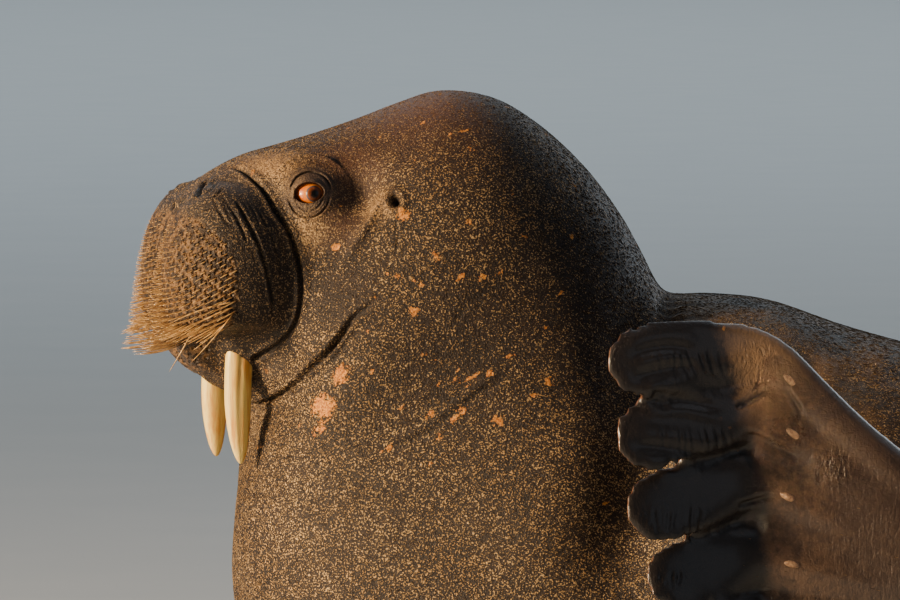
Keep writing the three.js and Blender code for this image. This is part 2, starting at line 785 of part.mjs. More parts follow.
// Limb lengths: middle point, half height, half thickness and roll.
const RAISED_ARM = [
  [800, 120, 300, 96, 84, 0],
  [768, 270, 300, 92, 76, 0],
  [716, 382, 302, 84, 58, 0],
  [650, 428, 306, 76, 42, 0],
  [588, 440, 308, 70, 30, 0],
];
const RESTING_ARM = [
  [560, 180, 170, 104, 96, 0],
  [575, 290, 130, 92, 84, 0],
  [598, 352, 92, 62, 78, 0],
  [640, 398, 64, 34, 74, 0],
  [672, 432, 58, 27, 66, 0],
];
const HIND_LEG = [
  [1480, 90, 140, 120, 96, 0],
  [1590, 104, 104, 88, 84, 0],
  [1680, 118, 66, 52, 62, 0],
  [1745, 130, 46, 32, 48, 0],
  [1790, 144, 42, 25, 42, 0],
];

const largest = (m) =>
  m
    .decompose()
    .reduce((a, b) => (b.volume() > a.volume() ? b : a));
const without = (m, cuts) => largest(cuts.reduce((a, c) => a.subtract(c), m));
const above = (m) => m.trimByPlane([0, 0, 1], 0);

const group = new THREE.Group();
group.name = "walrus";
const COLOURS = { hide: 0x4f3c2e, bare: 0x2b2422, ivory: 0xd9c7a2, claw: 0x8f7f6c, eye: 0x5a2a14, pad: 0x5c452e };

function add(name, m, colour, rough = 0.7) {
  const mesh = m.getMesh();
  const n = mesh.numProp;
  const pos = new Float32Array(mesh.numVert * 3);
  for (let i = 0; i < mesh.numVert; i++) pos.set(mesh.vertProperties.subarray(i * n, i * n + 3), i * 3);
  const g = new THREE.BufferGeometry();
  g.setAttribute("position", new THREE.BufferAttribute(pos, 3));
  g.setIndex(new THREE.BufferAttribute(Uint32Array.from(mesh.triVerts), 1));
  g.computeVertexNormals();
  const made = new THREE.Mesh(g, new THREE.MeshStandardMaterial({ color: colour, roughness: rough }));
  made.name = name;
  group.add(made);
}

const SIDES = [
  ["left", -1],
  ["right", 1],
];

// Tusks, eyes, pads and jaw of the head; what lies inside another is cut away with a fine gap.
const tusks = {};
const tuskCuts = [];
for (const [name, side] of SIDES) {
  tusks[name] = tuskSolid(side, 0);
  tuskCuts.push(tuskSolid(side, GAP));
}
for (const [name] of SIDES) add("tusk_" + name, tusks[name], COLOURS.ivory, 0.35);

const turnedY = headWay([0, 1, 0], -1);
for (const [name, side] of SIDES) {
  const inner = [turnedY.x * side, turnedY.y * side, turnedY.z * side];
  const half = padSolid(side, 0).trimByPlane(inner, GAP / 2);
  const bare = without(half, tuskCuts);
  const bristled = largest(Manifold.union([bare, ...whiskers(side)]));
  add("muzzle_" + name, bristled, COLOURS.pad, 0.6);
}
const padCuts = SIDES.map(([, side]) => padSolid(side, GAP));
const jaw = without(jawSolid(0), [...padCuts, ...tuskCuts]);
add("lower_jaw", jaw, COLOURS.hide);

const whole = above(bodySolid(0));
const headPlane = { way: headWay([-0.882, 0, 0.472], 1), through: pose(V3(-30, 0, 842), true) };
const neckPlane = { way: V3(-0.572, 0, 0.821).normalize(), through: V3(232, 0, 636) };
const offset = (p) => p.way.dot(p.through);
const ahead = (m, p) => m.trimByPlane(p.way.toArray(), offset(p) + GAP / 2);
const behind = (m, p) => m.trimByPlane(p.way.clone().negate().toArray(), -offset(p) + GAP / 2);
const at = (x) => ({ way: V3(-1, 0, 0), through: V3(x, 0, 0) });

const headCuts = [...padCuts, ...tuskCuts, jawSolid(GAP)];
for (const [name, side] of SIDES) {
  const ball = ballSolid(side, 0);
  add("eye_" + name, ball, COLOURS.eye, 0.15);
  headCuts.push(ballSolid(side, GAP), lidOpening(side), earPit(side), nostrilSlot(side));
}
const lidded = Manifold.union([ahead(whole, headPlane), ...SIDES.map(([, side]) => lidCap(side))]);
add("head", without(lidded, headCuts), COLOURS.hide);
add("neck", without(ahead(behind(whole, headPlane), neckPlane), [jawSolid(GAP)]), COLOURS.hide);
add("chest", largest(ahead(behind(whole, neckPlane), at(430))), COLOURS.hide);
add("torso", largest(ahead(behind(whole, at(430)), at(1000))), COLOURS.hide);
add("loins", largest(ahead(behind(whole, at(1000)), at(1400))), COLOURS.hide);
add("rump", largest(ahead(behind(whole, at(1400)), at(1700))), COLOURS.hide);
add("tail", largest(behind(whole, at(1700))), COLOURS.hide);

// Limbs: an upper length that leaves the body, and a flipper with five digits and their claws.
const bodyCut = bodySolid(GAP);
const FORM = (f, endTurn) => ({ ...f, endTurn });
const limbs = [
  { name: "fore", side: "left", s: -1, arm: RAISED_ARM, at: RAISED_AT, digits: RAISED, form: FORM(FORE_FORM, -14) },
  { name: "fore", side: "right", s: 1, arm: RESTING_ARM, at: RESTING_AT, digits: RESTING, form: FORM(REST_FORM, 0) },
  { name: "hind", side: "left", s: -1, arm: HIND_LEG, at: HIND_AT, digits: HIND, form: FORM(HIND_FORM, 0) },
  { name: "hind", side: "right", s: 1, arm: HIND_LEG, at: HIND_AT, digits: HIND, form: FORM(HIND_FORM, 0) },
];
for (const limb of limbs) {
  const place = placed(limb.at, limb.s);
  const digits = limb.digits.map((d) => digitSolid(d, limb.form, place));
  const webs = limb.digits.slice(1).map((d, i) => webSolid(limb.digits[i], d, limb.form, place));
  const hand = Manifold.union([palmSolid(limb.digits, limb.form, place), ...digits, ...webs]);
  const upper = limbSolid(limb.arm, limb.s);
  const claws = limb.digits.map((d) => above(clawSolid(d, limb.form, place, 0)));
  const sockets = limb.digits.map((d) => clawSolid(d, limb.form, place, GAP));
  const wristWay = V3(0, 0, 0).setFromMatrixColumn(place, 0);
  const wrist = { way: wristWay, through: V3(0, 0, 0).setFromMatrixPosition(place).addScaledVector(wristWay, 6) };
  const one = above(Manifold.union([hand, upper]));
  const shown = without(one, [bodyCut, ...sockets]);
  const title = limb.name + "_flipper_" + limb.side;
  add(title, largest(ahead(shown, wrist)), COLOURS.bare, 0.45);
  add((limb.name === "fore" ? "fore_arm_" : "hind_leg_") + limb.side, largest(behind(shown, wrist)), COLOURS.hide);
  claws.forEach((c, i) => add(limb.name + "_claw_" + limb.side + "_" + (i + 1), largest(c), COLOURS.claw, 0.4));
}

export default group;
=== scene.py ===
import math

import bmesh
import bpy
import numpy as np
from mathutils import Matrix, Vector
from mathutils.bvhtree import BVHTree
from mathutils.kdtree import KDTree


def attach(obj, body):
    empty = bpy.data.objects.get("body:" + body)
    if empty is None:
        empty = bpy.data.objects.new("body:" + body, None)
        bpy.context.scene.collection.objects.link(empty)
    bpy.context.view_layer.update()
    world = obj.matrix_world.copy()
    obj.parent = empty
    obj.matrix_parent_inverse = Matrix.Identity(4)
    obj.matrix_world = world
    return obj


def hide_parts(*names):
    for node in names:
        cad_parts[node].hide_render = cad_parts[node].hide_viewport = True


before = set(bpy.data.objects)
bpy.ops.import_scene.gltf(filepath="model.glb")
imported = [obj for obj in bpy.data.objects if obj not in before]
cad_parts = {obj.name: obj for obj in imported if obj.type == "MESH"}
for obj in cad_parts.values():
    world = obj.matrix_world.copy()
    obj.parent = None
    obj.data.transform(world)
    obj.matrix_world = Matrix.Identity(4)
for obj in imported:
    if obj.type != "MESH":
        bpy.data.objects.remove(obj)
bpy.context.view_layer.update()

# Trunk, neck and head.
# The real walrus is one bag of thick, loose hide over blubber, from the snout to the tail root. It is shaped
# here straight and even on both sides, in millimetres, as ovals strung between a line along the back and one
# along the throat and belly. The pose comes last, when every fold is in.
MM = 0.001
BODY = [  # back x, back z, belly x, belly z, half width
    (-330, 700, -314, 575, 40), (-312, 731, -298, 537, 68), (-283, 753, -280, 513, 88), (-243, 773, -260, 501, 103),
    (-200, 785, -243, 494, 115), (-150, 799, -231, 490, 128), (-100, 815, -225, 487, 144),
    (-50, 833, -225, 481, 161), (-5, 845, -230, 468, 174), (50, 836, -236, 440, 192), (103, 803, -242, 402, 208),
    (152, 757, -248, 350, 222), (192, 706, -250, 282, 236), (219, 661, -236, 200, 252), (236, 628, -194, 112, 272),
    (248, 614, -118, 36, 292), (264, 611, 0, -8, 308), (300, 612, 140, -12, 322), (370, 603, 290, -14, 335),
    (470, 569, 450, -14, 345), (620, 533, 620, -14, 352), (820, 512, 820, -14, 346), (1020, 478, 1020, -14, 328),
    (1220, 425, 1220, -12, 296), (1400, 348, 1400, -9, 248), (1550, 270, 1550, -6, 196), (1670, 205, 1670, -3, 146),
    (1750, 155, 1750, 8, 100), (1800, 112, 1800, 28, 56),
]
SNOUT, TAIL_ROOT = (-338, 0, 648), (1822, 0, 68)
NECK_AT, TRUNK_AT = 9, 18
HEAD_TURN, BEND_FROM, BEND_BY, BEND_PER = 14, 400, 45, 700


def smooth(t):
    """A soft step from 0 to 1."""
    c = np.clip(t, 0, 1)
    return c * c * (3 - 2 * c)


def through(keys, t):
    """The values of a smooth line through evenly spaced keys, at every t."""
    keys, t = np.asarray(keys, float), np.asarray(t, float)
    last = len(keys) - 1
    i = np.clip(np.floor(t).astype(int), 0, last - 1)
    f = (t - i).reshape(t.shape + (1,) * (keys.ndim - 1))
    a, b, c, d = keys[np.maximum(i - 1, 0)], keys[i], keys[i + 1], keys[np.minimum(i + 2, last)]
    return b + 0.5 * f * (c - a + f * (2 * a - 5 * b + 4 * c - d + f * (3 * (b - c) + d - a)))


def pose(p, rigid=False):
    """Turns the head to its left and lets the loins sag to the right, as the resting animal lies."""
    x, y, z = p[..., 0], p[..., 1], p[..., 2]
    w = np.ones(x.shape) if rigid else smooth((-0.6 * x + z - 460) / 220)
    a = math.radians(HEAD_TURN) * w
    bend = np.where(x > BEND_FROM, BEND_BY * ((x - BEND_FROM) / BEND_PER) ** 2, 0)
    return np.stack([x * np.cos(a) - y * np.sin(a), x * np.sin(a) + y * np.cos(a) + bend, z], -1)


def turns(count):
    """Even angles of a full turn."""
    return 2 * np.pi * np.arange(count) / count


def signed_power(v, power):
    return np.sign(v) * np.abs(v) ** power


def every(keys, step=0.125):
    """Even places along a row of keys, as through takes them."""
    return np.arange(0, len(keys) - 1 + 1e-6, step)


def skinned(rings, first=None, last=None):
    """Points and faces of a closed shell over rings of points, with a point to close each end."""
    rings = np.asarray(rings, float)
    count, n = rings.shape[:2]
    first = rings[0].mean(0) if first is None else first
    last = rings[-1].mean(0) if last is None else last
    points = np.concatenate([[first], rings.reshape(-1, 3), [last]])
    k = np.arange(n)
    nxt = (k + 1) % n
    faces = []
    for at in range(1, 1 + (count - 1) * n, n):
        faces += np.stack([at + k, at + nxt, at + n + nxt, at + n + k], -1).tolist()
    end = 1 + (count - 1) * n
    faces += np.stack([0 * k, 1 + nxt, 1 + k], -1).tolist()
    faces += np.stack([0 * k + len(points) - 1, end + k, end + nxt], -1).tolist()
    return points, faces


def station_rings(stations, wide, top, low, count):
    """Ovals across a body between its two lines: flatter above or below as top and low grow."""
    bx, bz, vx, vz, half = through(stations, every(stations)).T[:, :, None]
    mx, mz = bx + (vx - bx) * wide[:, None], bz + (vz - bz) * wide[:, None]
    c, s = np.cos(turns(count))[None], np.sin(turns(count))[None]
    n = np.where(c > 0, top[:, None], low[:, None])
    up = np.abs(c) ** (2 / n)
    ex, ez = np.where(c > 0, bx, vx), np.where(c > 0, bz, vz)
    return np.stack([mx + (ex - mx) * up, signed_power(s, 2 / n) * half, mz + (ez - mz) * up], -1)


trunk = smooth((every(BODY) - NECK_AT) / (TRUNK_AT - NECK_AT))
rings = station_rings(BODY, 0.51 + 0.06 * trunk, 2.45 - 0.2 * trunk, 2.2 + 0.8 * trunk, 144)
shells = [skinned(rings, SNOUT, TAIL_ROOT)]

# Muzzle pads and lower jaw.
# Two deep, fat pads hang over the mouth on either side of the nose and carry the whiskers. The lower jaw is a
# small lip between the tusks that runs back into the cheeks. Each is pressed out of its own closed shell and
# grows together with the head when the hide is cast.
PAD_AT, PAD_HALF, PAD_INNER, PAD_SQUARE = (-268, 57, 634), (80, 78, 110), 98, 2.3
LIP_FROM, LIP_UP, LIP_DOWN = 594, 44, 13
JAW = [
    (-301, 553, -301, 530, 17), (-282, 560, -282, 512, 32), (-256, 562, -256, 502, 40), (-236, 568, -240, 497, 66),
    (-204, 590, -226, 496, 108), (-172, 622, -200, 503, 131), (-142, 640, -164, 538, 130),
]
JAW_TIP, JAW_END = (-308, 0, 543), (-122, 0, 598)


def pad_point(side, fore, turn):
    """A point of one pad: fore is the angle back from its front, turn the angle round it from the top."""
    fine = 2 / PAD_SQUARE
    r = signed_power(np.sin(fore), fine)
    x = PAD_AT[0] - PAD_HALF[0] * signed_power(np.cos(fore), fine) + 0 * turn
    y = PAD_AT[1] + np.where(np.sin(turn) > 0, PAD_HALF[1], PAD_INNER) * r * signed_power(np.sin(turn), fine)
    z = PAD_AT[2] + PAD_HALF[2] * r * signed_power(np.cos(turn), fine)
    return np.stack([x, side * y, z + lip_move(y, z)], -1)


def lip_move(y, z):
    """The pads' lower edge hangs between the tusks and is drawn up over the outer side of each."""
    drawn = LIP_UP * smooth((y - 42) / 24) * smooth((LIP_FROM - z) / 66)
    return drawn - LIP_DOWN * smooth((42 - y) / 26) * smooth((LIP_FROM - z) / 70)


# The head's own underside is drawn up with them beside each tusk.
under = shells[0][0]
beside = smooth((np.abs(under[:, 1]) - 42) / 24) * smooth((-214 - under[:, 0]) / 24)
under[:, 2] += 20 * beside * smooth((590 - under[:, 2]) / 45)

SIDES = (-1, 1)
for side in SIDES:
    fore, turn = np.meshgrid(np.pi * np.arange(1, 48) / 48, turns(72), indexing="ij")
    shells.append(skinned(pad_point(side, fore, turn), *pad_point(side, np.array([0, np.pi]), np.zeros(2))))
even = np.ones(len(every(JAW)))
shells.append(skinned(station_rings(JAW, 0.5 * even, 2.4 * even, 2.4 * even, 96), JAW_TIP, JAW_END))

# Limbs.
# A walrus's flippers are its hands and feet: five long digits in a thick leathery web, bare below and at the
# tips. The left fore flipper is lifted and folded at the knuckles, the others lie on the ground. An oval tube
# makes each upper length, and each digit is bent along its own line.
ARMS = {  # middle x, y, z, half height, half thickness
    "raised": [(800, 120, 300, 96, 84), (768, 270, 300, 92, 76), (716, 382, 302, 84, 58),
               (650, 428, 306, 76, 42), (588, 440, 308, 70, 30)],
    "resting": [(560, 180, 170, 104, 96), (575, 290, 130, 92, 84), (598, 352, 92, 62, 78),
                (640, 398, 64, 34, 74), (672, 432, 58, 27, 66)],
    "hind": [(1480, 90, 140, 120, 96), (1590, 104, 104, 88, 84), (1680, 118, 66, 52, 62),
             (1745, 130, 46, 32, 48), (1790, 144, 42, 25, 42)],
}
DIGITS = {  # side offset at the wrist, slant near the wrist, before the knuckle and in the bare tip, knuckle, length
    "raised": [(48, 30, 45, -3, 330, 532), (24, 27, 37, -12, 306, 500), (0, 20, 25, -16, 290, 462),
               (-24, 11, 12, -16, 270, 416), (-46, 2, -1, -15, 240, 352)],
    "resting": [(44, 18, 16, 18, 292, 430), (22, 9, 8, 8, 276, 404), (0, 0, 0, 0, 258, 374),
                (-22, -9, -9, -10, 238, 340), (-44, -18, -19, -20, 216, 302)],
    "hind": [(30, 22, 17, 15, 262, 405), (15, 11, 9, 8, 240, 352), (0, 0, 0, 0, 232, 332),
             (-15, -11, -9, -8, 240, 356), (-30, -22, -17, -15, 266, 415)],
}
FORMS = {  # half widths and thicknesses at wrist, mid hand, knuckle and tip, palm, curl, sag, and the webs
    "raised": dict(wide=(30, 27, 30, 42), thick=(27, 20, 15, 5.5), palm=(30, 12), reach=1.05, curl=36, sag=0,
                   turn=-14, sheet=0.62, dip=8, hollow=26),
    "resting": dict(wide=(29, 26, 28, 31), thick=(27, 19, 14, 6), palm=(30, 10), reach=1.02, curl=5, sag=8,
                    turn=0, sheet=0.66, dip=3, hollow=14),
    "hind": dict(wide=(22, 21, 24, 31), thick=(22, 16, 12, 6), palm=(22, 8), reach=1.02, curl=7, sag=6,
                 turn=0, sheet=0.68, dip=3, hollow=16),
}
TIP, PRESSED = 46, 0.3
WRISTS = {  # wrist, way along the hand, way out of its back, and which edge the first digit is on
    "raised": ((606, 436, 312), (-0.994, -0.04, 0), (-0.04, 0.99, 0.09), -1),
    "resting": ((640, 392, 66), (0.66, 0.75, -0.13), (0.1, 0.09, 0.99), 1),
    "hind": ((1745, 128, 46), (0.965, 0.24, -0.085), (0.08, 0.02, 0.996), 1),
}
LIMBS = [  # name, side, kind
    ("fore_left", -1, "raised"),
    ("fore_right", 1, "resting"),
    ("hind_left", -1, "hind"),
    ("hind_right", 1, "hind"),
]


def unit(v):
    """Directions at length one."""
    return v / np.linalg.norm(v, axis=-1, keepdims=True)


def tube(at, across, up, wide, high, angles):
    """Ovals round a line of points, as wide and as high as given there."""
    return (at[:, None] + across[:, None] * (wide[:, None] * np.cos(angles))[..., None]
            + up[:, None] * (high[:, None] * np.sin(angles))[..., None])


def digit_way(digit, form, s):
    """Direction along a digit, across it and out of its back, at each s."""
    _, near, far, flap, knuckle, long = digit
    before = near + (far - near) * smooth(s / (knuckle * 0.9))
    bent = smooth((s - knuckle + 34) / 84)
    end = smooth((s - knuckle - 60) / (long - knuckle - 60))
    a = np.radians(before + (flap - before) * bent + form["turn"] * end)
    e = np.radians(form["curl"] * bent * (1 - 0.35 * end) - form["sag"] * (1 - bent))
    way = np.stack([np.cos(a) * np.cos(e), np.sin(a) * np.cos(e), np.sin(e)], -1)
    across = np.stack([-np.sin(a), np.cos(a), 0 * a], -1)
    return way, across, np.cross(way, across)


def digit_line(digit, form, s):
    """Middle points of a digit at rising s, with its three directions there."""
    fine = np.linspace(0, digit[5], 600)
    mid = (fine[1:] + fine[:-1]) / 2
    run = np.concatenate([np.zeros((1, 3)), np.cumsum(digit_way(digit, form, mid)[0] * (fine[1] - fine[0]), 0)])
    at = np.stack([np.interp(s, fine, run[:, i]) for i in range(3)], -1) + np.array([0, digit[0], 0])
    return (at, *digit_way(digit, form, s))


def digit_size(digit, form, s):
    """Half width and half thickness of a digit at each s."""
    knuckle, long = digit[4:]
    t = np.where(s < knuckle, 2 * s / knuckle, 2 + (s - knuckle) / (0.55 * (long - knuckle)))
    end = np.clip((s - long + TIP) / TIP, 0, 1)
    full = np.sqrt(np.maximum(1 - end**2.3, 0))
    t = np.minimum(t, 3)
    return through(form["wide"], t) * full, through(form["thick"], t) * (0.45 + 0.55 * full)


def wrist_frame(kind, side):
    """The wrist of a limb and its three directions as rows."""
    at, along, back, first = WRISTS[kind]
    flip = np.array([1, side, 1.0])
    u, n = unit(np.array(along) * flip), np.array(back) * flip
    n = unit(n - n @ u * u)
    return np.array(at) * flip, np.array([u, np.cross(n, u) * first, n])


def laid(rings, half):
    """Lifts each ring so that it lies on the floor, pressed in by a share of its half thickness."""
    rings[..., 2] += np.maximum(half * (1 - PRESSED) - rings.mean(1)[:, 2], 0)[:, None]
    return rings


for _, side, kind in LIMBS:
    wrist, axes = wrist_frame(kind, side)
    form, digits, circle = FORMS[kind], DIGITS[kind], turns(64)
    for digit in digits:
        long = digit[5]
        s = np.concatenate([np.linspace(0, long - TIP, 40), long - TIP * (1 - np.linspace(0.08, 0.995, 12))])
        at, way, across, up = digit_line(digit, form, s)
        w, h = digit_size(digit, form, s)
        rings = laid(tube(at, across, up, w, h, turns(40)) @ axes + wrist, h)
        shells.append(skinned(rings, last=rings[-1].mean(0) + way[-1] @ axes * 1.5))
    # The palm: one flat tube from the first digit to the fifth.
    reach = np.linspace(0, form["reach"], 24)
    first, fifth = (digit_line(d, form, reach * d[4]) for d in (digits[0], digits[-1]))
    middle, half, up = (first[0] + fifth[0]) / 2, (first[0] - fifth[0]) / 2, unit(first[3] + fifth[3])
    near_end = smooth((reach / form["reach"] - 0.86) / 0.14)
    thick = form["palm"][0] + (form["palm"][1] - form["palm"][0]) * smooth(reach / form["reach"])
    thick = thick * (1 - 0.45 * near_end)
    flat = signed_power(np.cos(circle), 0.7)
    rings = (middle[:, None] + half[:, None] * (flat * (1 - 0.1 * near_end[:, None]))[..., None]
             + up[:, None] * (np.sin(circle) * thick[:, None])[..., None])
    shells.append(skinned(laid(rings @ axes + wrist, thick)))
    # The webs: a thin sheet between each two digits that sags and ends in a hollow edge.
    for one, two in zip(digits[:-1], digits[1:]):
        f = np.linspace(0.85, 1 + form["sheet"], 30)
        a, b = (digit_line(d, form, np.where(f < 1, f * d[4], d[4] + (f - 1) * (d[5] - d[4]))) for d in (one, two))
        middle, half, up, way = (a[0] + b[0]) / 2, (a[0] - b[0]) / 2, unit(a[3] + b[3]), unit(a[1] + b[1])
        opened = smooth((f - 0.85) / 0.3)[:, None]
        thick = 9 - 4.6 * opened
        across = signed_power(np.cos(circle), 0.8)[:, None]
        bow = (1 - across**2)[:, 0]
        end = smooth((f - 1) / form["sheet"])[:, None] ** 2
        rings = (middle[:, None] + half[:, None] * across * 0.96
                 + up[:, None] * (np.sin(circle) * thick - form["dip"] * opened * bow)[..., None]
                 - way[:, None] * (form["hollow"] * end * bow)[..., None])
        shells.append(skinned(laid(rings @ axes + wrist, thick[:, 0] + form["dip"])))
    line = through(ARMS[kind], np.linspace(0, len(ARMS[kind]) - 1, 40))
    at = line[:, :3] * [1, side, 1]
    way = unit(np.gradient(at, axis=0))
    up = unit([0, 0, 1] - way * way[:, 2:3])
    shells.append(skinned(tube(at, up, np.cross(up, way), line[:, 3], line[:, 4], circle), at[0], at[-1]))

# The hide, cast as one skin.
# All the shells are cast into one closed skin by filling their space with fine cells. The head and the lifted
# flipper are then cut finer, and the lids finest, because their folds are. The joints between limbs and trunk
# are rubbed down as a modeller rubs clay.
CELL = 5.4
EYE_AT, EYE_OUT = np.array([-188, -98.5, 730.5]), unit(np.array([-0.28, -0.94, 0.18]))
EYE_SIDE = unit(np.cross([0, 0, 1], EYE_OUT))
EYE_UP = np.cross(EYE_OUT, EYE_SIDE)
BALL, OPENING = 19.0, (15.6, 11.4)  # radius of the eyeball, half width and height of the gap between the lids
LIFTED = -372  # only the lifted hand reaches further left than this


def placed(name, data):
    """A new object in the scene."""
    made = bpy.data.objects.new(name, data)
    bpy.context.scene.collection.objects.link(made)
    return made


def joined(name, shells, soft=True):
    """An object of one mesh made of shells in millimetres. Soft ones are turned outwards and shaded softly."""
    points, faces = [], []
    for p, f in shells:
        faces += [[i + len(points) for i in face] for face in f]
        points += (p * MM).tolist()
    made = placed(name, bpy.data.meshes.new(name))
    made.data.from_pydata(points, [], faces)
    if soft:
        bm = bmesh.new()
        bm.from_mesh(made.data)
        bmesh.ops.recalc_face_normals(bm, faces=bm.faces)
        bm.to_mesh(made.data)
        bm.free()
    made.data.polygons.foreach_set("use_smooth", np.full(len(made.data.polygons), soft))
    return made


def read(mesh, what="co"):
    """Places or normals of a mesh's points; places come in millimetres."""
    source = mesh.vertices if what == "co" else mesh.vertex_normals
    values = np.zeros(len(source) * 3, np.float32)
    source.foreach_get(what if what == "co" else "vector", values)
    return values.reshape(-1, 3).astype(float) / (MM if what == "co" else 1)


def write(mesh, places):
    mesh.vertices.foreach_set("co", (places * MM).astype(np.float32).ravel())
    mesh.update()


def rub(mesh, passes, where=None, keep=True):
    """Evens a skin out by moving each point towards its neighbours' mean, and back again if keep is set."""
    places = read(mesh)
    links = np.zeros(len(mesh.edges) * 2, np.int32)
    mesh.edges.foreach_get("vertices", links)
    a, b = links.reshape(-1, 2).T
    count = len(places)
    if where is not None:
        moved = (where[a] > 0.001) | (where[b] > 0.001)
        a, b = a[moved], b[moved]
    degree = np.maximum(np.bincount(a, minlength=count) + np.bincount(b, minlength=count), 1)[:, None]
    share = np.ones((count, 1)) if where is None else where[:, None]
    for step in range(passes):
        mean = np.stack([np.bincount(a, places[b, i], count) + np.bincount(b, places[a, i], count)
                         for i in range(3)], -1)
        move = np.where(degree > 1, mean / degree - places, 0) * share
        places = places + move * (0.6 if step % 2 == 0 or not keep else -0.62)
    write(mesh, places)


def refine(mesh, inside):
    """Cuts every face whose middle lies inside into four."""
    bm = bmesh.new()
    bm.from_mesh(mesh)
    bm.faces.ensure_lookup_table()
    bm.edges.ensure_lookup_table()
    middles = np.array([f.calc_center_median()[:] for f in bm.faces]) / MM
    chosen = np.nonzero(inside(middles))[0]
    cut = sorted({e.index for i in chosen for e in bm.faces[i].edges})
    bmesh.ops.subdivide_edges(bm, edges=[bm.edges[i] for i in cut], cuts=1, use_grid_fill=True)
    bm.to_mesh(mesh)
    bm.free()


def mirrored(p):
    """The same points, all on the animal's right side."""
    return p * [1, 0, 1] + np.abs(p) * [0, 1, 0]


def apart(p, at):
    """How far each point is from a place."""
    return np.linalg.norm(p - np.array(at), axis=-1)


def near(p, *places):
    """The most of some soft spots; each has its middle, the reach at which it fades to 0, and its strength."""
    return np.maximum.reduce([(1 - smooth(apart(p, at) / reach)) * strength for at, reach, strength in places])


skin = joined("hide", shells)
cast = skin.modifiers.new("cast", "REMESH")
cast.mode, cast.voxel_size = "VOXEL", CELL * MM
skin.data = bpy.data.meshes.new_from_object(skin.evaluated_get(bpy.context.evaluated_depsgraph_get()))
skin.modifiers.clear()
hide = skin.data
rub(hide, 6)
places = read(hide)
mirror = mirrored(places)
joints = np.maximum(
    near(places, ((770, -300, 300), 150, 1), ((585, 330, 110), 130, 1), ((588, -440, 308), 90, 0.6),
         ((655, 410, 64), 90, 0.6)),
    near(mirror, ((1660, 110, 90), 120, 1), ((1760, 130, 46), 80, 0.6)),
)
rub(hide, 40, joints, keep=False)
rub(hide, 20, near(mirror, ((-200, 120, 640), 150, 1), ((-200, 110, 520), 120, 1)), keep=False)
for zone in (
    lambda p: (p[:, 0] < -70) & (p[:, 2] > 430) | (p[:, 0] < 640) & (p[:, 1] < LIFTED) & (p[:, 2] > 150),
    lambda p: (p[:, 0] < -206) & (p[:, 2] > 530),
    lambda p: (apart(mirrored(p), (-190, 100, 730)) < 50) & (p[:, 0] > -206),
    lambda p: apart(mirrored(p), (-196, 115, 732)) < 34,
):
    refine(hide, zone)
rub(hide, 2, keep=False)
places = read(hide)
rim = smooth((660 - places[:, 0]) / 60) * smooth((LIFTED - places[:, 1]) / 10) * (places[:, 2] > 150)
rub(hide, 11, rim, keep=False)

# Folds, lids and creases of the hide.
# Walrus hide is up to four centimetres thick and hangs in folds wherever the animal bends: round the muzzle
# pads, along the mouth, under the throat, behind the neck and at the knuckles. Each is drawn as a line over the
# skin and pressed in, with the hide puffed up beside it and painted shade laid along it. The eyes have thick
# lids in rings of creases, with painted shade in each.
places, out = read(hide), read(hide, "normal")
lift, folded = np.zeros(len(places)), np.zeros(len(places))


def bell(t, power=2):
    """1 at 0, falling off softly to both sides."""
    return np.exp(-(t**power))


def over_line(line, side, reach):
    """For the points near a line over the skin: which they are, their distance, how far along, and the side."""
    keys = np.array(line, float) * [1, -side, 1]
    line = through(keys, every(keys, 0.25))
    low, high = line.min(0) - reach, line.max(0) + reach
    chosen = np.nonzero(((places > low) & (places < high)).all(1))[0]
    p, n = places[chosen], out[chosen]
    best, run, hand = np.full(len(p), 1e9), np.zeros(len(p)), np.ones(len(p))
    lengths = np.linalg.norm(np.diff(line, axis=0), axis=1)
    ends = np.concatenate([[0], np.cumsum(lengths)])
    for i, (a, b) in enumerate(zip(line[:-1], line[1:])):
        ab = b - a
        t = np.clip((p - a) @ ab / max(ab @ ab, 1e-9), 0, 1)
        gap = p - a - t[:, None] * ab
        deep = (gap * n).sum(1)
        far = np.where(np.abs(deep) < max(26, reach / 2), np.linalg.norm(gap - n * deep[:, None], axis=1), 1e9)
        closer = far < best
        best = np.where(closer, far, best)
        run = np.where(closer, (ends[i] + t * lengths[i]) / ends[-1], run)
        hand = np.where(closer, np.sign((np.cross(ab, gap) * n).sum(1)) * -side, hand)
    return chosen, best, run, hand


def fold(line, width, depth, puff=0.0, other=None, ends=(0.15, 0.15), sides=SIDES, shade=1.0):
    """Presses a line in by depth and puffs the hide up beside it, to its left by puff and to its right by other,
    and lays painted shade in the crease, as dark as shade asks.
    """
    for side in sides:
        chosen, far, run, hand = over_line(line, side, width * 5 + 6)
        fade = smooth(run / max(ends[0], 1e-6)) * smooth((1 - run) / max(ends[1], 1e-6))
        lip = np.where(hand > 0, puff, puff if other is None else other)
        lift[chosen] += fade * (lip * bell((far - 2.3 * width) / (1.3 * width)) - depth * bell(far / width))
        folded[chosen] = np.maximum(folded[chosen], shade * fade * bell(far / (0.8 * width)))


# The brow and eye socket, the hollow behind the eye, the cheek and the hollow of the shoulder.
for at, rise, spread in [
    ((-192, -108, 731), 13, 30), ((-140, -126, 746), -15, 17), ((-140, -132, 722), -8, 14),
    ((-236, -100, 716), -5, 20), ((-205, -86, 766), 5, 22), ((-160, -122, 596), 9, 40),
    ((-150, -160, 505), 9, 48), ((-196, -140, 556), 7, 20), ((250, -150, 560), -12, 60),
]:
    for side in SIDES:
        lift += rise * bell(apart(places, np.array(at) * [1, -side, 1]) / (spread * 2**0.5))
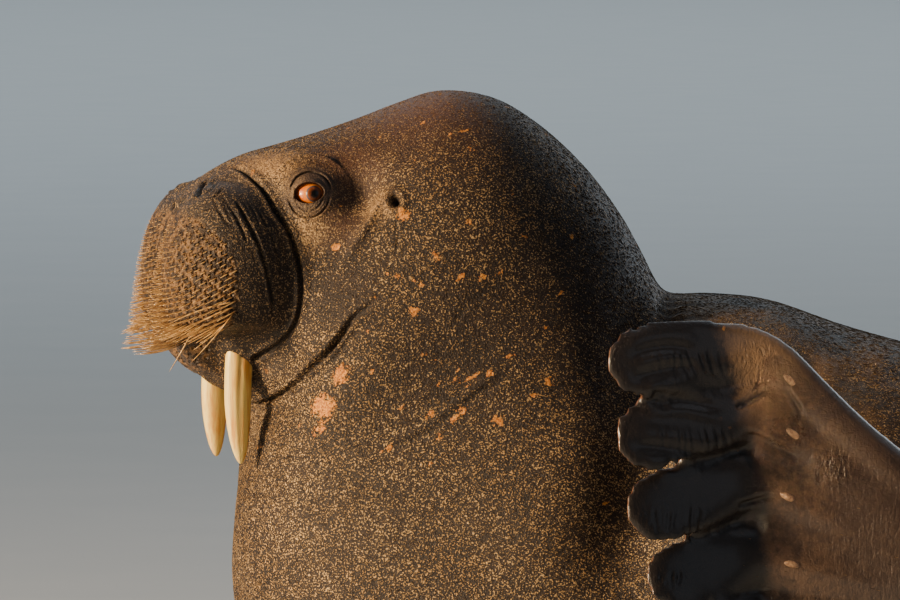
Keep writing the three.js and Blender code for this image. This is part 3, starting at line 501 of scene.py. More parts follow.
# Muzzle: the fold round each pad, the crease over it, and short wrinkles towards the nose.
fold([(-277, -102, 728), (-267, -121, 705), (-254, -131, 674), (-245, -133, 644), (-238, -130, 608),
      (-240, -128, 590)], 1.7, 3.2, 0.8)
fold([(-291, -92, 730), (-283, -112, 716), (-272, -126, 692), (-268, -130, 676)], 1.4, 1.4, 0.5, shade=0.7)
fold([(-300, -105, 719), (-294, -114, 710), (-286, -122, 696)], 1.4, 1.2, 0.4, shade=0.7)
fold([(-252, -112, 712), (-240, -124, 690), (-230, -130, 664), (-226, -132, 636)], 1.7, 1.2, 0.5, shade=0.6)
fold([(-276, -48, 746), (-266, -61, 745), (-257, -72, 741)], 1.8, 2, 0.8)
# Fine parallel wrinkles run down the pads between the nose and the crease.
for k in range(9):
    x = -304 + 8 * k
    fold([(x, -84 - 4 * k, 735 - k), (x + 9, -104 - 2.4 * k, 716 - 2 * k), (x + 15, -118 - 1.4 * k, 690 - 5 * k)],
         1.1, 0.7, 0.35, ends=(0.3, 0.5), shade=0.35)
# Mouth and cheek: one long fold from the corner of the mouth, with the fat cheek rolled over it.
fold([(-118, -184, 630), (-130, -180, 616), (-141, -176, 603), (-153, -170, 592), (-163, -165, 574),
      (-173, -159, 556), (-185, -147, 539), (-199, -128, 523), (-212, -97, 507), (-223, -54, 495),
      (-232, 0, 492)], 2.7, 9, 3.2, 3.4, ends=(0.35, 0.0))
fold([(-222, -53, 492), (-223, -79, 474), (-223, -93, 456), (-220, -112, 430)], 10, 1.0, 0.6, shade=0.12)
# Throat and neck: broad shallow rolls.
fold([(78, -235, 540), (52, -236, 527), (37, -238, 517), (22, -239, 508), (-1, -241, 489), (-22, -242, 471),
      (-52, -239, 457), (-90, -236, 440)], 2.8, 3.4, 0.8, 2.4, ends=(0.3, 0.3), shade=0.7)
fold([(-101, -160, 712), (-103, -168, 692), (-105, -175, 672), (-105, -179, 658)], 1.3, 1.6, 0.6,
     ends=(0.2, 0.4), shade=0.6)
fold([(-14, -215, 625), (-32, -222, 600), (-48, -226, 572)], 3, 1.2, 0.5, ends=(0.4, 0.4), shade=0.4)
fold([(-160, -205, 452), (-120, -228, 420), (-60, -243, 400), (20, -253, 390)], 9, 1.2, 1, ends=(0.4, 0.4),
     shade=0.2)
# Neck against back: a deep fold with wrinkles that fan out of it, and creases down the flank.
fold([(246, 0, 612), (247, -69, 606), (249, -110, 594), (253, -170, 562), (253, -215, 516), (246, -250, 448),
      (226, -262, 370), (190, -262, 290)], 9, 11, 2, 3, ends=(0.3, 0.4))
fold([(252, -96, 598), (246, -170, 552), (232, -230, 470), (218, -256, 390), (200, -264, 300), (176, -258, 210)],
     58, 46, ends=(0.35, 0.4), shade=0.0)
for k in range(11):
    y = -30 - 19 * k
    z = 622 - 0.0019 * y * y
    long = 46 + 26 * ((k * 7) % 5) / 4
    slant = 8 + 3 * ((k * 5) % 4)
    fold([(238 + 0.05 * y, y, z), (238 + long * 0.5, y - slant * 0.5, z - 6), (238 + long, y - slant * 1.4, z - 10)],
         4.2, 2.6, 1.3, ends=(0.2, 0.6))
fold([(398, -168, 560), (405, -190, 546), (408, -215, 524), (404, -246, 490), (396, -275, 440)], 9, 4, 1.6,
     ends=(0.4, 0.5), shade=0.4)
for x, y, z, reach in [(470, -250, 470, 70), (520, -262, 455, 90), (590, -280, 430, 80), (1120, -180, 420, 90),
                       (1230, -150, 380, 110), (1330, -150, 320, 90)]:
    fold([(x, y, z), (x + 6, y - 14, z - reach * 0.4), (x - 2, y - 24, z - reach * 0.8), (x - 14, y - 28, z - reach)],
         6, 2.2, 1.1, ends=(0.35, 0.4))

# The lifted flipper and the nose: these folds are placed by where they show from the animal's left.
near_side = [tuple(p.vertices) for p in hide.polygons if p.center.x < 0.75 and p.center.y < 0.06]
posed = pose(places)
skin_tree = BVHTree.FromPolygons((posed * MM).tolist(), near_side)
LOOK = Vector((0, -9.986, 1.127))  # the camera's place


def seen(x, z):
    """The point of the straight hide that shows before x and z of its middle plane, or none."""
    hit, _, face, _ = skin_tree.ray_cast(LOOK, (Vector((x * MM, 0, z * MM)) - LOOK).normalized())
    if hit is None:
        return None
    corner = list(near_side[face])
    share = 1 / (np.linalg.norm(posed[corner] * MM - np.array(hit), axis=1) + 1e-6)
    return tuple((places[corner] * (share / share.sum())[:, None]).sum(0))


def seen_fold(line, width, depth, puff=0.0, other=None, shade=0.6, ends=(0.25, 0.25), sides=(-1,)):
    """A fold through points given as seen from the left."""
    points = [p for p in (seen(x, z) for x, z in line) if p]
    if len(points) > 1:
        fold(points, width, depth, puff, other, ends=ends, sides=sides, shade=shade)


seen_fold([(-252, 757), (-236, 751), (-216, 731), (-201, 706), (-186, 681), (-174, 648), (-170, 613), (-176, 579),
           (-197, 553), (-221, 539), (-230, 535)], 2.6, 4.6, 1.0, 2.0, 1.0, (0.06, 0.02), SIDES)
dice = np.random.default_rng(5)
for x, top, low, slant, deep in [(308, 558, 498, 14, 1.7), (312, 466, 414, 6, 1.6), (288, 376, 322, 2, 1.3),
                                 (262, 300, 262, 0, 1.0)]:
    for k in range(9):
        shift = x - 8.5 * k + dice.uniform(-3, 3)
        cut = dice.uniform(0, 0.3) * (top - low)
        wave = dice.uniform(-3, 3, 4)
        seen_fold([(shift + wave[0], top - cut * 0.5), (shift + 2 + wave[1], top * 0.67 + low * 0.33),
                   (shift + slant * 0.6 + wave[2], top * 0.33 + low * 0.67), (shift + slant + wave[3], low + cut)],
                  dice.uniform(1.2, 2.2), deep * dice.uniform(0.4, 1.1) * (1 - 0.06 * k), 0.7, shade=0.25,
                  ends=(0.4, 0.4))
# A deep fold parts the first two digits, with a slit at its root; two soft furrows run along the first one.
seen_fold([(206, 496), (236, 492), (270, 488), (306, 481), (329, 481)], 5, 2.2, 1.6, 2.4, 0.5, (0.4, 0.15))
seen_fold([(329, 481), (347, 490), (366, 503)], 2.2, 5, 1.2, 0.5, 1.0, (0.1, 0.3))
seen_fold([(381, 504), (391, 492), (400, 479), (405, 466)], 3.2, 4.2, 1.6, 1.2, 0.5, (0.3, 0.3))
seen_fold([(334, 452), (366, 438), (388, 429), (406, 420)], 4, 3, 2.6, 0.5, 0.3)
seen_fold([(206, 512), (229, 520), (256, 526), (289, 527)], 7, 3, 1.5, 1.5, 0.2)
seen_fold([(202, 536), (229, 547), (259, 549), (289, 543)], 6, 2.6, 1.5, 1.5, 0.15)
seen_fold([(200, 436), (236, 434), (270, 430), (304, 420)], 7, 2.6, 1.5, 1.5, 0.2)
seen_fold([(330, 366), (352, 372), (374, 380)], 3, 3.4, 1.4, 0.5, 0.8)

# Ear: a small pit with no flap, and a thin ridge from it down the cheek.
ear = np.array(seen(-63, 718))
ridge_line = [seen(x, z) for x, z in [(-70, 735), (-82, 714), (-95, 688), (-106, 670), (-122, 644), (-132, 628)]]
for side in SIDES:
    far = np.linalg.norm((places - ear * [1, -side, 1]) * [1, 0.5, 0.72], axis=1)
    lift -= 11 * bell(far / 3.8) - 2.2 * bell((far - 9) / 3.6)
    # Painted shade fills the ear pit.
    folded = np.maximum(folded, np.minimum(1.4 * bell(far / 4.6, 4), 1))
    chosen, far, run, _ = over_line([(p[0], -abs(p[1]), p[2]) for p in ridge_line], side, 40)
    lift[chosen] += (1.8 * bell(far / 3.4) + 3.4 * bell(far / 9)) * smooth(run / 0.15) * smooth((1 - run) / 0.5)
# Nostrils: two crescent slits with crinkled rims above the pads.
seen_fold([(-278, 744), (-281, 739), (-286, 731), (-289, 722)], 2.9, 8, 2.2, shade=1.0, ends=(0.2, 0.2), sides=SIDES)
seen_fold([(-305, 719), (-310, 714), (-316, 708)], 2.6, 5, 1.8, shade=1.0, ends=(0.2, 0.2), sides=SIDES)
for line in [[(-304, 705), (-292, 713), (-283, 716)], [(-306, 713), (-297, 720), (-289, 721)],
             [(-300, 700), (-286, 707), (-274, 712)], [(-281, 724), (-272, 733), (-266, 740)],
             [(-274, 719), (-265, 728), (-258, 735)], [(-294, 727), (-288, 735), (-280, 741)]]:
    seen_fold(line, 1.5, 1.5, 0.7, shade=0.5, ends=(0.3, 0.3), sides=SIDES)

places = places + out * lift[:, None]
# The lip closes round each tusk like a cuff.
TUSK_ROOT, TUSK_TIP, TUSK_OVAL, TUSK_BOW = np.array([-256, 57, 596.0]), np.array([-261, 64, 424.0]), (17, 12.5), 5
for side in SIDES:
    t = (TUSK_ROOT[2] - places[:, 2]) / (TUSK_ROOT[2] - TUSK_TIP[2])
    axis = (TUSK_ROOT + (TUSK_TIP - TUSK_ROOT) * t[:, None] - [TUSK_BOW, 0, 0]) * [1, side, 1]
    away = (places - axis)[:, :2]
    ring = np.hypot(*(away / TUSK_OVAL).T)
    cuff = bell((ring - 1.0) / 0.28) * ((t > -0.1) & (t < 0.55) & (out[:, 2] < 0.5))
    level = places[:, 2] - 556 + 0.45 * (away[:, 0] + 17)
    cover = bell(away[:, 0] / 13, 4) * bell(level / 8) * ((ring < 2.2) & (away[:, 1] * side > 0))
    away = away / np.maximum(np.linalg.norm(away, axis=1, keepdims=True), 1e-6)
    places += np.column_stack([away * 1.2, np.full(len(places), -1.5)]) * cuff[:, None]
    places[:, 1] += side * 5.5 * cover
write(hide, places)
rub(hide, 1, keep=False)

# Lids: where the hide meets the ball it follows it, ends in a thick rim, and sinks behind the ball inside.
places = read(hide)
for side in SIDES:
    flip = np.array([1, -side, 1.0])
    q = (places - EYE_AT * flip) * flip
    u, v, h = q @ EYE_SIDE, q @ EYE_UP, q @ EYE_OUT
    ring = np.hypot(u / OPENING[0], (v - 0.06 * u) / OPENING[1])
    flat = np.hypot(u, v)
    ball = np.sqrt(np.maximum(BALL**2 - flat**2, 9.0))
    turn = np.arctan2(v, u)
    zone = (flat < 48) & (h > -14)
    upper, lower = smooth(np.sin(turn) * 1.6), smooth(-np.sin(turn) * 1.6)
    over = np.sqrt(np.maximum((BALL + 3 + 1.2 * upper) ** 2 - flat**2, 0.0)) - 3 * smooth((flat - 20) / 3)
    fall = h - over
    lid = (h + over + np.sqrt(fall**2 + 6)) / 2
    edge = smooth((ring - 0.98) / 0.12)
    new = (ball - 6) * (1 - edge) + (lid + 0.7 * bell((ring - 1.13) / 0.08)) * edge
    # Creases over and under the lids, as rings round the eye, each with painted shade in it.
    above = 24 + 1.5 * np.cos(turn) - 1.0 * np.cos(2 * turn)
    below = 29 - 5.5 * np.abs(np.cos(turn)) ** 1.5
    inner = 21.5 - 4.5 * np.abs(np.cos(turn)) ** 1.5
    for radius, deep, wide, part in [(above, 2.2, 1.2, upper), (below, 1.8, 1.2, lower), (inner, 0.9, 1.1, lower),
                                     (inner + 3.6, 0.6, 1.0, lower), (above + 5, 0.5, 1.4, upper)]:
        gap = (flat - radius) / wide
        new = new + part * deep * (0.35 * bell((gap - 2.2) / 1.2) + 0.35 * bell((gap + 2.2) / 1.2) - bell(gap))
        folded[zone] = np.maximum(folded, part * bell(gap / 0.9) * min(deep / 2.6, 1))[zone]
    # Painted shade in the gap between the lids, round the ball.
    folded[zone] = np.maximum(folded, 1 - smooth((ring - 0.9) / 0.16))[zone]
    places[zone] += (EYE_OUT * flip) * (new - h)[zone][:, None]
write(hide, places)

# Floor: what the animal lies on presses its belly, wrists and hind flippers flat.
LYING, PRESS_FROM = 0.6, 3.0
places = read(hide)
give = PRESS_FROM - LYING
pressed = LYING + give * np.exp((np.minimum(places[:, 2], PRESS_FROM) - PRESS_FROM) / give)
places[:, 2] = np.where(places[:, 2] < PRESS_FROM, pressed, places[:, 2])
straight = places.copy()
write(hide, pose(places))
hide.polygons.foreach_set("use_smooth", np.ones(len(hide.polygons), bool))
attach(skin, "root")
FLESH = ["head", "neck", "chest", "torso", "loins", "rump", "tail", "lower_jaw", "muzzle_left", "muzzle_right"]
FLESH += [f"{part}_{side}" for part in ("fore_flipper", "fore_arm", "hind_flipper", "hind_leg")
          for side in ("left", "right")]
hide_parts(*FLESH)

# Finish of the hide.
# Short tawny hair over dark brown skin, thin enough for the skin to show; black and bare on the muzzle, nearly
# black and wet on the flippers. Old scabs and scratches from tusks and ice are salmon pink. Painted shade darkens
# the creases, the whisker pits, the hollow behind the eye, patches of the cheek and neck turned from the key light
# and the back of the lifted arm; painted highlights lighten the brow, the cheek, the top of the nose, and the
# lifted flipper's knuckles and left-facing edges. Where each finish lies is kept on the skin's points, and the
# edges are broken up by noise in the material.
def reckoned(operation, swapped=False):
    """A sum of two values, made as a node."""

    def work(self, other):
        pair = (other, self) if swapped else (self, other)
        return self.finish.node("ShaderNodeMath", {"operation": operation}, dict(enumerate(pair)))

    return work


class Wire:
    """A value of a material's nodes that can be reckoned with as a number."""

    def __init__(self, finish, socket):
        self.finish, self.socket = finish, socket

    __add__ = __radd__ = reckoned("ADD")
    __mul__ = __rmul__ = reckoned("MULTIPLY")
    __sub__, __rsub__ = reckoned("SUBTRACT"), reckoned("SUBTRACT", True)

    def step(self, low, high):
        """0 below low, 1 above high and soft between, or the other way round if low is above high."""
        if low > high:
            return 1 - self.step(high, low)
        return self.finish.node("ShaderNodeMapRange", {"interpolation_type": "SMOOTHSTEP"},
                                {0: self, 1: low, 2: high, 3: 0.0, 4: 1.0})


class Finish:
    """A material being made up: node() adds any node and gives back one of its outputs."""

    def __init__(self, name):
        self.material = bpy.data.materials.new(name)
        self.material.use_nodes = True
        self.tree = self.material.node_tree
        self.tree.nodes.clear()

    def node(self, kind, settings=None, values=None, output=0):
        made = self.tree.nodes.new(kind)
        for key, value in (settings or {}).items():
            setattr(made, key, value)
        for key, value in (values or {}).items():
            socket = made.inputs[key]
            if isinstance(value, Wire):
                self.tree.links.new(value.socket, socket)
            else:
                socket.default_value = (*value, 1) if socket.type == "RGBA" and len(value) == 3 else value
        return Wire(self, made.outputs[output]) if made.outputs else made

    def kept(self, name):
        """A value kept on the mesh's points under a name."""
        return self.node("ShaderNodeAttribute", {"attribute_name": name}, output=2)

    def stretched(self, x, y, z, turn=(0, 0, 0)):
        """The place, scaled unevenly after a turn, for streaks."""
        place = self.node("ShaderNodeTexCoord", output=3)
        return self.node("ShaderNodeMapping", {}, {"Vector": place, "Scale": (x, y, z), "Rotation": turn})

    def noise(self, scale, detail=2.0, rough=0.5, at=None, warp=0.0):
        place = at or self.node("ShaderNodeTexCoord", output=3)
        return self.node("ShaderNodeTexNoise", {}, {"Vector": place, "Scale": scale, "Detail": detail,
                                                    "Roughness": rough, "Distortion": warp})

    def cells(self, scale, at=None, **settings):
        """Distances in a pattern of cells."""
        place = at or self.node("ShaderNodeTexCoord", output=3)
        return self.node("ShaderNodeTexVoronoi", settings, {"Vector": place, "Scale": scale})

    def blend(self, share, first, second):
        return self.node("ShaderNodeMix", {"data_type": "RGBA"}, {0: share, 6: first, 7: second}, 2)

    def painted(self, colour, *coats):
        """A colour with others laid over it in turn, each by its share."""
        for share, paint in coats:
            colour = self.blend(share, colour, paint)
        return colour

    def bump(self, height, depth):
        return self.node("ShaderNodeBump", {}, {"Height": height, "Distance": depth, "Strength": 1.0})

    def surface(self, **values):
        """Ends the material in one glossy surface with these sockets, underscores for blanks."""
        shader = self.node("ShaderNodeBsdfPrincipled", {}, {k.replace("_", " "): v for k, v in values.items()})
        self.node("ShaderNodeOutputMaterial", {}, {"Surface": shader})
        return self.material


def keep(mesh, name, values):
    kept = mesh.attributes.new(name, "FLOAT", "POINT")
    kept.data.foreach_set("value", np.asarray(values, np.float32))


mirror = mirrored(straight)
pad_gap = (((np.abs(mirror - PAD_AT) / (np.array(PAD_HALF) + 4)) ** PAD_SQUARE).sum(1)) ** (1 / PAD_SQUARE)
muzzle = smooth((1.16 - pad_gap) / 0.1) * smooth((straight[:, 2] - 500) / 30)
REAR = np.array([(530, -300), (560, -292), (585, -286), (601, -281), (619, -280), (639, -281), (657, -283),
                 (675, -291), (691, -305), (702, -317), (712, -322)], float).T  # z and x of the bristles' rear edge
field = smooth((np.interp(straight[:, 2], *REAR) - straight[:, 0] + 6) / 12)
field *= muzzle * smooth((716 - straight[:, 2]) / 16)
bare, hand = np.zeros(len(straight)), np.zeros(len(straight))
for _, side, kind in LIMBS:
    wrist, axes = wrist_frame(kind, side)
    u, v, w = ((straight - wrist) @ axes.T).T
    low, high = {"raised": (-140, 480), "resting": (-240, 240), "hind": (-260, 260)}[kind]
    own = (straight[:, 1] * side > 60) & (u > -90) & (v > low) & (v < high) & (np.abs(w) < 190)
    own &= (np.abs(straight - wrist) < 640).all(1) & ((kind == "hind") == (straight[:, 0] > 1500))
    edge = np.mean([d[4] for d in DIGITS[kind]]) * 0.94
    if kind == "raised":
        own &= straight[:, 1] < LIFTED
        edge = edge + np.clip(0.42 * (straight[:, 2] - 505), -40, 36)[own]
    else:
        own &= (np.abs(w) < 90) & (np.abs(v) < 80 + 0.45 * np.maximum(u, 0))
    hand[own] = np.maximum(hand[own], smooth((u[own] + 60) / 130))
    bare[own] = np.maximum(bare[own], smooth((np.hypot(u[own], v[own] * 0.5) - edge) / 60))
SCABS = [  # place on the left side and size across, in millimetres
    (-158, -179, 536, 28), (-172, -175, 493, 30), (-166, -178, 470, 20), (-236, -85, 532, 16), (-192, -156, 468, 9),
    (-69, -236, 450, 9), (-228, -81, 441, 10), (-90, -202, 604, 13), (-65, -194, 664, 7), (-24, -190, 702, 9),
    (-38, -206, 642, 8), (-10, -209, 640, 8), (11, -208, 645, 8), (-106, -185, 642, 6), (-155, -152, 641, 6),
    (-16, -127, 804, 6), (-10, -147, 784, 8), (29, -175, 735, 5), (38, -194, 686, 7), (-65, -218, 555, 6),
    (-45, -224, 546, 6), (-30, -231, 521, 8), (-10, -233, 525, 7), (59, -229, 554, 7), (39, -234, 535, 10),
    (11, -235, 525, 8), (12, -242, 493, 9), (3, -243, 483, 9), (53, -248, 482, 11), (-27, -237, 488, 9),
    (-13, -244, 463, 7), (113, -135, 739, 7), (109, -233, 525, 9), (-166, -136, 672, 10), (-95, -166, 711, 14),
    (-175, -145, 605, 8), (-131, -179, 615, 6), (-247, -60, 755, 7), (-82, -197, 632, 5), (-159, -124, 719, 6),
    (-7, -231, 538, 6),
]
dice = np.random.default_rng(7)
scab = np.zeros(len(straight))
for x, y, z, across in SCABS:
    for way in dice.normal(size=(3, 3)):
        other = np.array((x, y, z)) + unit(way) * across * 0.3
        scab = np.maximum(scab, 1 - apart(straight, other) / (across * 0.62))
spots = straight[dice.integers(0, len(straight), 900)]
spots = spots[(spots[:, 2] > 380) & (spots[:, 0] < 330) & (spots[:, 0] > -150)][:110]
for at in spots:
    scab = np.maximum(scab, 1 - apart(straight, at) / dice.uniform(2.2, 4.5))
lifted, flat = straight[:, 1] < LIFTED, straight * [1, 0, 1]
MARKS = {
    # Painted shade along the creases, in the ear pits and in the gap between the lids.
    "folded": folded,
    "muzzle": muzzle,
    "field": field,
    "bare": bare,
    "hand": hand,
    "scab": scab,
    # Plain greyish brown round the eye, where the hair is thin, darkened as painted shade in the socket and the
    # hollow behind it.
    "socket": np.maximum(smooth((40 - apart(mirror, EYE_AT * [1, -1, 1])) / 14),
                         near(mirror, ((-142, 124, 742), 34, 0.9))),
    # Painted highlight on the brow, the cheek, the top of the nose and behind the eye, on both sides.
    "bright": near(mirror, ((-238, 74, 768), 66, 1), ((-205, 120, 694), 44, 0.9), ((-222, 110, 742), 42, 1),
                   ((-122, 148, 722), 34, 0.7)),
    "back": smooth((straight[:, 0] - 215) / 60) * smooth((straight[:, 2] - 150) / 200),
    "calm": near(mirror, ((-150, 110, 775), 90, 1), ((-40, 60, 850), 190, 1), ((-160, 130, 700), 50, 0.7),
                 ((-252, 60, 765), 60, 0.6)),
    # Painted shade on the cheek and on the neck's side and middle, turned from the key light, on both sides.
    "dusk": near(mirror, ((-158, 150, 622), 80, 1), ((175, 190, 640), 170, 1), ((-10, 225, 556), 150, 0.7)),
    # Painted shade, darker towards the back of the lifted arm.
    "arm": smooth((straight[:, 0] - 340) / 120) * lifted,
    # Painted highlight on the lifted flipper's knuckles.
    "knuckle": hand * near(flat, ((335, 0, 552), 80, 1)) * lifted,
    "glint": hand * near(flat, ((338, 0, 555), 46, 1), ((372, 0, 480), 34, 1), ((420, 0, 440), 34, 1)) * lifted,
    "wet": hand * lifted * (straight[:, 0] < 900),
    # Painted highlight on bare flipper edges that face left, towards the key light.
    "rim": bare * (straight[:, 0] < 900) * smooth((-read(hide, "normal")[:, 0] - 0.5) / 0.35),
}
for name, values in MARKS.items():
    keep(hide, name, values)


def hide_colours(finish):
    """The colour of hide and hair alike, with the noises and the scabs that the hide's bumps follow."""
    folded, muzzle, field, bare, back, bright, calm, dusk, crust = map(finish.kept, (
        "folded", "muzzle", "field", "bare", "back", "bright", "calm", "dusk", "scab"))
    grain, coarse = finish.noise(520, 2, 0.65), finish.noise(120, 3, 0.6)
    mottle, cloud = finish.noise(14, 4, 0.6), finish.noise(4.2, 2, 0.5)
    tawny = finish.blend(mottle.step(0.35, 0.65), (0.50, 0.295, 0.115), (0.64, 0.43, 0.20))
    # Tawny flecks of the hair's own colour, fewer under painted shade and a few more under painted highlight.
    flecks = grain * 0.8 + coarse * 0.2 + bright * 0.05 - calm * 0.02 - dusk * 0.045
    golden = back * (cloud * 0.5 + mottle * 0.5).step(0.45, 0.60)
    dark_muzzle = finish.blend(flecks.step(0.56, 0.61), (0.022, 0.015, 0.012), (0.34, 0.215, 0.105))
    pitted = finish.blend(coarse.step(0.44, 0.64), (0.028, 0.015, 0.008), (0.21, 0.112, 0.046))
    wet_brown = finish.painted(
        (0.060, 0.034, 0.021),
        ((coarse * 0.5 + mottle * 0.5).step(0.4, 0.6), (0.15, 0.085, 0.048)),
        # Painted highlight on the lifted flipper's knuckles.
        (finish.kept("knuckle") * 0.8, (0.32, 0.190, 0.100)),
        # Painted shade on the back of the lifted arm.
        (finish.kept("arm") * 0.8, (0.040, 0.025, 0.018)),
    )
    ragged = (coarse - 0.5) * 0.6 + (mottle - 0.5) * 1.0
    scab = (crust + (finish.noise(250, 3, 0.7) - 0.5) * 2.3 * crust.step(0.0, 0.15)).step(0.34, 0.44)
    pink = finish.blend(finish.noise(420, 2, 0.5).step(0.35, 0.65), (0.46, 0.150, 0.028), (0.80, 0.345, 0.060))
    colour = finish.painted(
        (0.013, 0.008, 0.006),
        (mottle.step(0.3, 0.72), (0.032, 0.017, 0.011)),
        (calm * 0.8, (0.100, 0.042, 0.021)),
        # Painted highlight on the brow, the cheek and the top of the nose.
        (bright * 0.78, (0.45, 0.265, 0.125)),
        (grain.step(0.47, 0.40) * (1 - calm * 0.6), (0.012, 0.007, 0.006)),
        (flecks.step(0.548, 0.600) * (0.92 - calm * 0.55), tawny),
        (golden * 0.6, (0.23, 0.130, 0.064)),
        (back * mottle.step(0.54, 0.38) * 0.7, (0.10, 0.092, 0.086)),
        (muzzle * 0.85, dark_muzzle),
        (field * 0.85, pitted),
        # Painted shade in the pit round each bristle's root.
        (finish.kept("pore") * 0.9, (0.010, 0.006, 0.005)),
        # Plain greyish brown round the eye, darkened as painted shade in the socket and the hollow behind it.
        (finish.kept("socket") * 0.7, (0.062, 0.042, 0.034)),
        (finish.kept("hand"), wet_brown),
        ((bare + ragged * bare.step(0.0, 0.25)).step(0.22, 0.78), (0.016, 0.012, 0.011)),
        # Painted highlight, orange, on bare flipper edges facing the key light.
        (finish.kept("rim") * 0.8, (0.20, 0.075, 0.030)),
        # Painted shade in the creases, the ear pits and the gap between the lids.
        (folded * 0.85, (0.010, 0.007, 0.006)),
        (scab * (1 - bare) * (1 - muzzle * 0.7), pink),
    )
    return colour, grain, coarse, scab


finish = Finish("hide")
colour, grain, coarse, scab = hide_colours(finish)
field, bare, hand, muzzle, wet, glint = map(finish.kept, ("field", "bare", "hand", "muzzle", "wet", "glint"))
rough = 0.52 - wet * 0.12 - glint * 0.27 - bare * 0.04 - muzzle * 0.05 + (coarse - 0.5) * 0.3
wrinkle = finish.cells(95.0, finish.stretched(1.0, 1.0, 1.7), feature="DISTANCE_TO_EDGE")
height = grain * 1.2 + coarse * 0.6 + scab * 0.6 - field * finish.cells(170.0).step(0.5, 0.1) * 1.8
lines = finish.noise(1.0, 3, 0.6, at=finish.stretched(340, 340, 70, (0, 0.5, 0)), warp=0.4)
leather = wrinkle.step(0.0, 0.16) * 0.12 + finish.noise(60, 4, 0.6) * 0.5 + lines * 0.6
height = height * (1 - hand * 0.8) + leather * (hand * 0.75 + 0.12) * (1 - bare * 0.3)
crinkle = finish.noise(1.0, 3, 0.6, at=finish.stretched(210, 210, 105, (0, 0.4, 0)), warp=0.5)
height = height + crinkle * (glint * 2.2 + wet * 0.3) - finish.kept("pore") * 0.9
skin.data.materials.append(
    finish.surface(Base_Color=colour, Roughness=rough, Coat_Weight=wet * (0.9 - bare * 0.35) * (1 - glint),
                   Coat_Roughness=0.22, Normal=finish.bump(height, 0.0016), Specular_IOR_Level=0.34)
)

# Eyes.
# Each eye is a ball of wet tissue a little proud of the face: orange-red at the white, with fine veins, a
# blue-grey ring round an amber iris, and a dark pupil. It turns in its socket between the lids, and here it
# looks back along the animal's flank.
finish = Finish("eyeball")
from_pupil, veil = finish.kept("from_pupil"), finish.noise(900, 3, 0.6)
veins = finish.cells(330.0, feature="DISTANCE_TO_EDGE")
white = finish.painted((0.78, 0.235, 0.002), (from_pupil.step(1.0, 1.7), (0.50, 0.10, 0.002)),
                       (veins.step(0.06, 0.0) * 0.6, (0.40, 0.03, 0.015)))
eye_colour = finish.painted(
    (0.030, 0.010, 0.006),
    ((finish.noise(1600, 2, 0.5) * 0.5 + from_pupil * 0.5).step(0.35, 0.75), (0.20, 0.052, 0.012)),
    ((from_pupil + (veil - 0.5) * 0.10).step(0.52, 0.34), (0.004, 0.003, 0.003)),
    ((from_pupil + (veil - 0.5) * 0.03).step(0.80, 0.88), (0.060, 0.072, 0.098)),
    ((from_pupil + (veil - 0.5) * 0.04).step(0.97, 1.06), white),
)
eyeball = finish.surface(Base_Color=eye_colour, Roughness=0.34, Coat_Weight=0.4, Coat_Roughness=0.03,
                         Normal=finish.bump(veil, 0.0001), Specular_IOR_Level=0.3)
GAZE = unit(EYE_OUT + 0.34 * EYE_SIDE - 0.06 * EYE_UP)
IRIS = 9.2  # from the middle of the pupil out to the edge of the iris
NAMES = ("left", "right")
for side, name in zip(SIDES, NAMES):
    flip = np.array([1, -side, 1.0])
    centre, axis = EYE_AT * flip, GAZE * flip
    wide = unit(np.cross([0, 0, 1], axis))
    angle = np.linspace(0.03, np.pi - 0.05, 90)
    radius = BALL - 0.4 + 1.5 * bell(angle / 0.50, 4) - 0.25 * bell((angle - 0.52) / 0.07)
    out_by = radius * np.sin(angle)
    rings = tube(centre + axis * (radius * np.cos(angle))[:, None], wide[None], np.cross(axis, wide)[None],
                 out_by, out_by, turns(72))
    ball = skinned(*(pose(p, True) for p in (rings, centre + axis * (BALL + 1.1), centre - axis * (BALL - 0.4))))
    eye = joined("eye_ball_" + name, [ball])
    gap = np.concatenate([[0], np.repeat(BALL * np.sin(angle), 72), [3.0]]) / IRIS
    gap[1 + 45 * 72:] = 2.0
    keep(eye.data, "from_pupil", gap)
    eye.data.materials.append(eyeball)
    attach(eye, "root")
    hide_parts("eye_" + name)

# Tusks.
# Long upper teeth of cream ivory, oval, with a groove down the outer side, amber stains in the groove and at
# the gum, and fine cracks that run lengthwise. They grow out of deep sockets under the pads.
finish = Finish("ivory")
streak = finish.noise(1.0, 4, 0.65, at=finish.stretched(120, 120, 9))
fine = finish.noise(1.0, 3, 0.7, at=finish.stretched(420, 420, 22))
groove, gum = finish.kept("groove"), finish.kept("gum")
ivory = finish.painted(
    (1.0, 0.75, 0.22),
    (streak.step(0.42, 0.64), (0.79, 0.37, 0.06)),
    (groove * 0.8, (0.52, 0.31, 0.12)),
    (groove.step(0.55, 0.9) * streak.step(0.42, 0.58) * 0.8, (0.16, 0.075, 0.025)),
    ((gum + (streak - 0.5) * 0.8).step(0.35, 1.1) * 0.6, (0.62, 0.34, 0.10)),
    (fine.step(0.64, 0.74) * 0.4, (0.42, 0.24, 0.10)),
)
ivory_finish = finish.surface(Base_Color=ivory, Roughness=0.34 + (streak - 0.5) * 0.25, Coat_Weight=0.5,
                              Coat_Roughness=0.12, Normal=finish.bump(fine * 0.6 + streak, 0.0006),
                              Subsurface_Weight=0.06, Subsurface_Radius=(0.006, 0.003, 0.001))
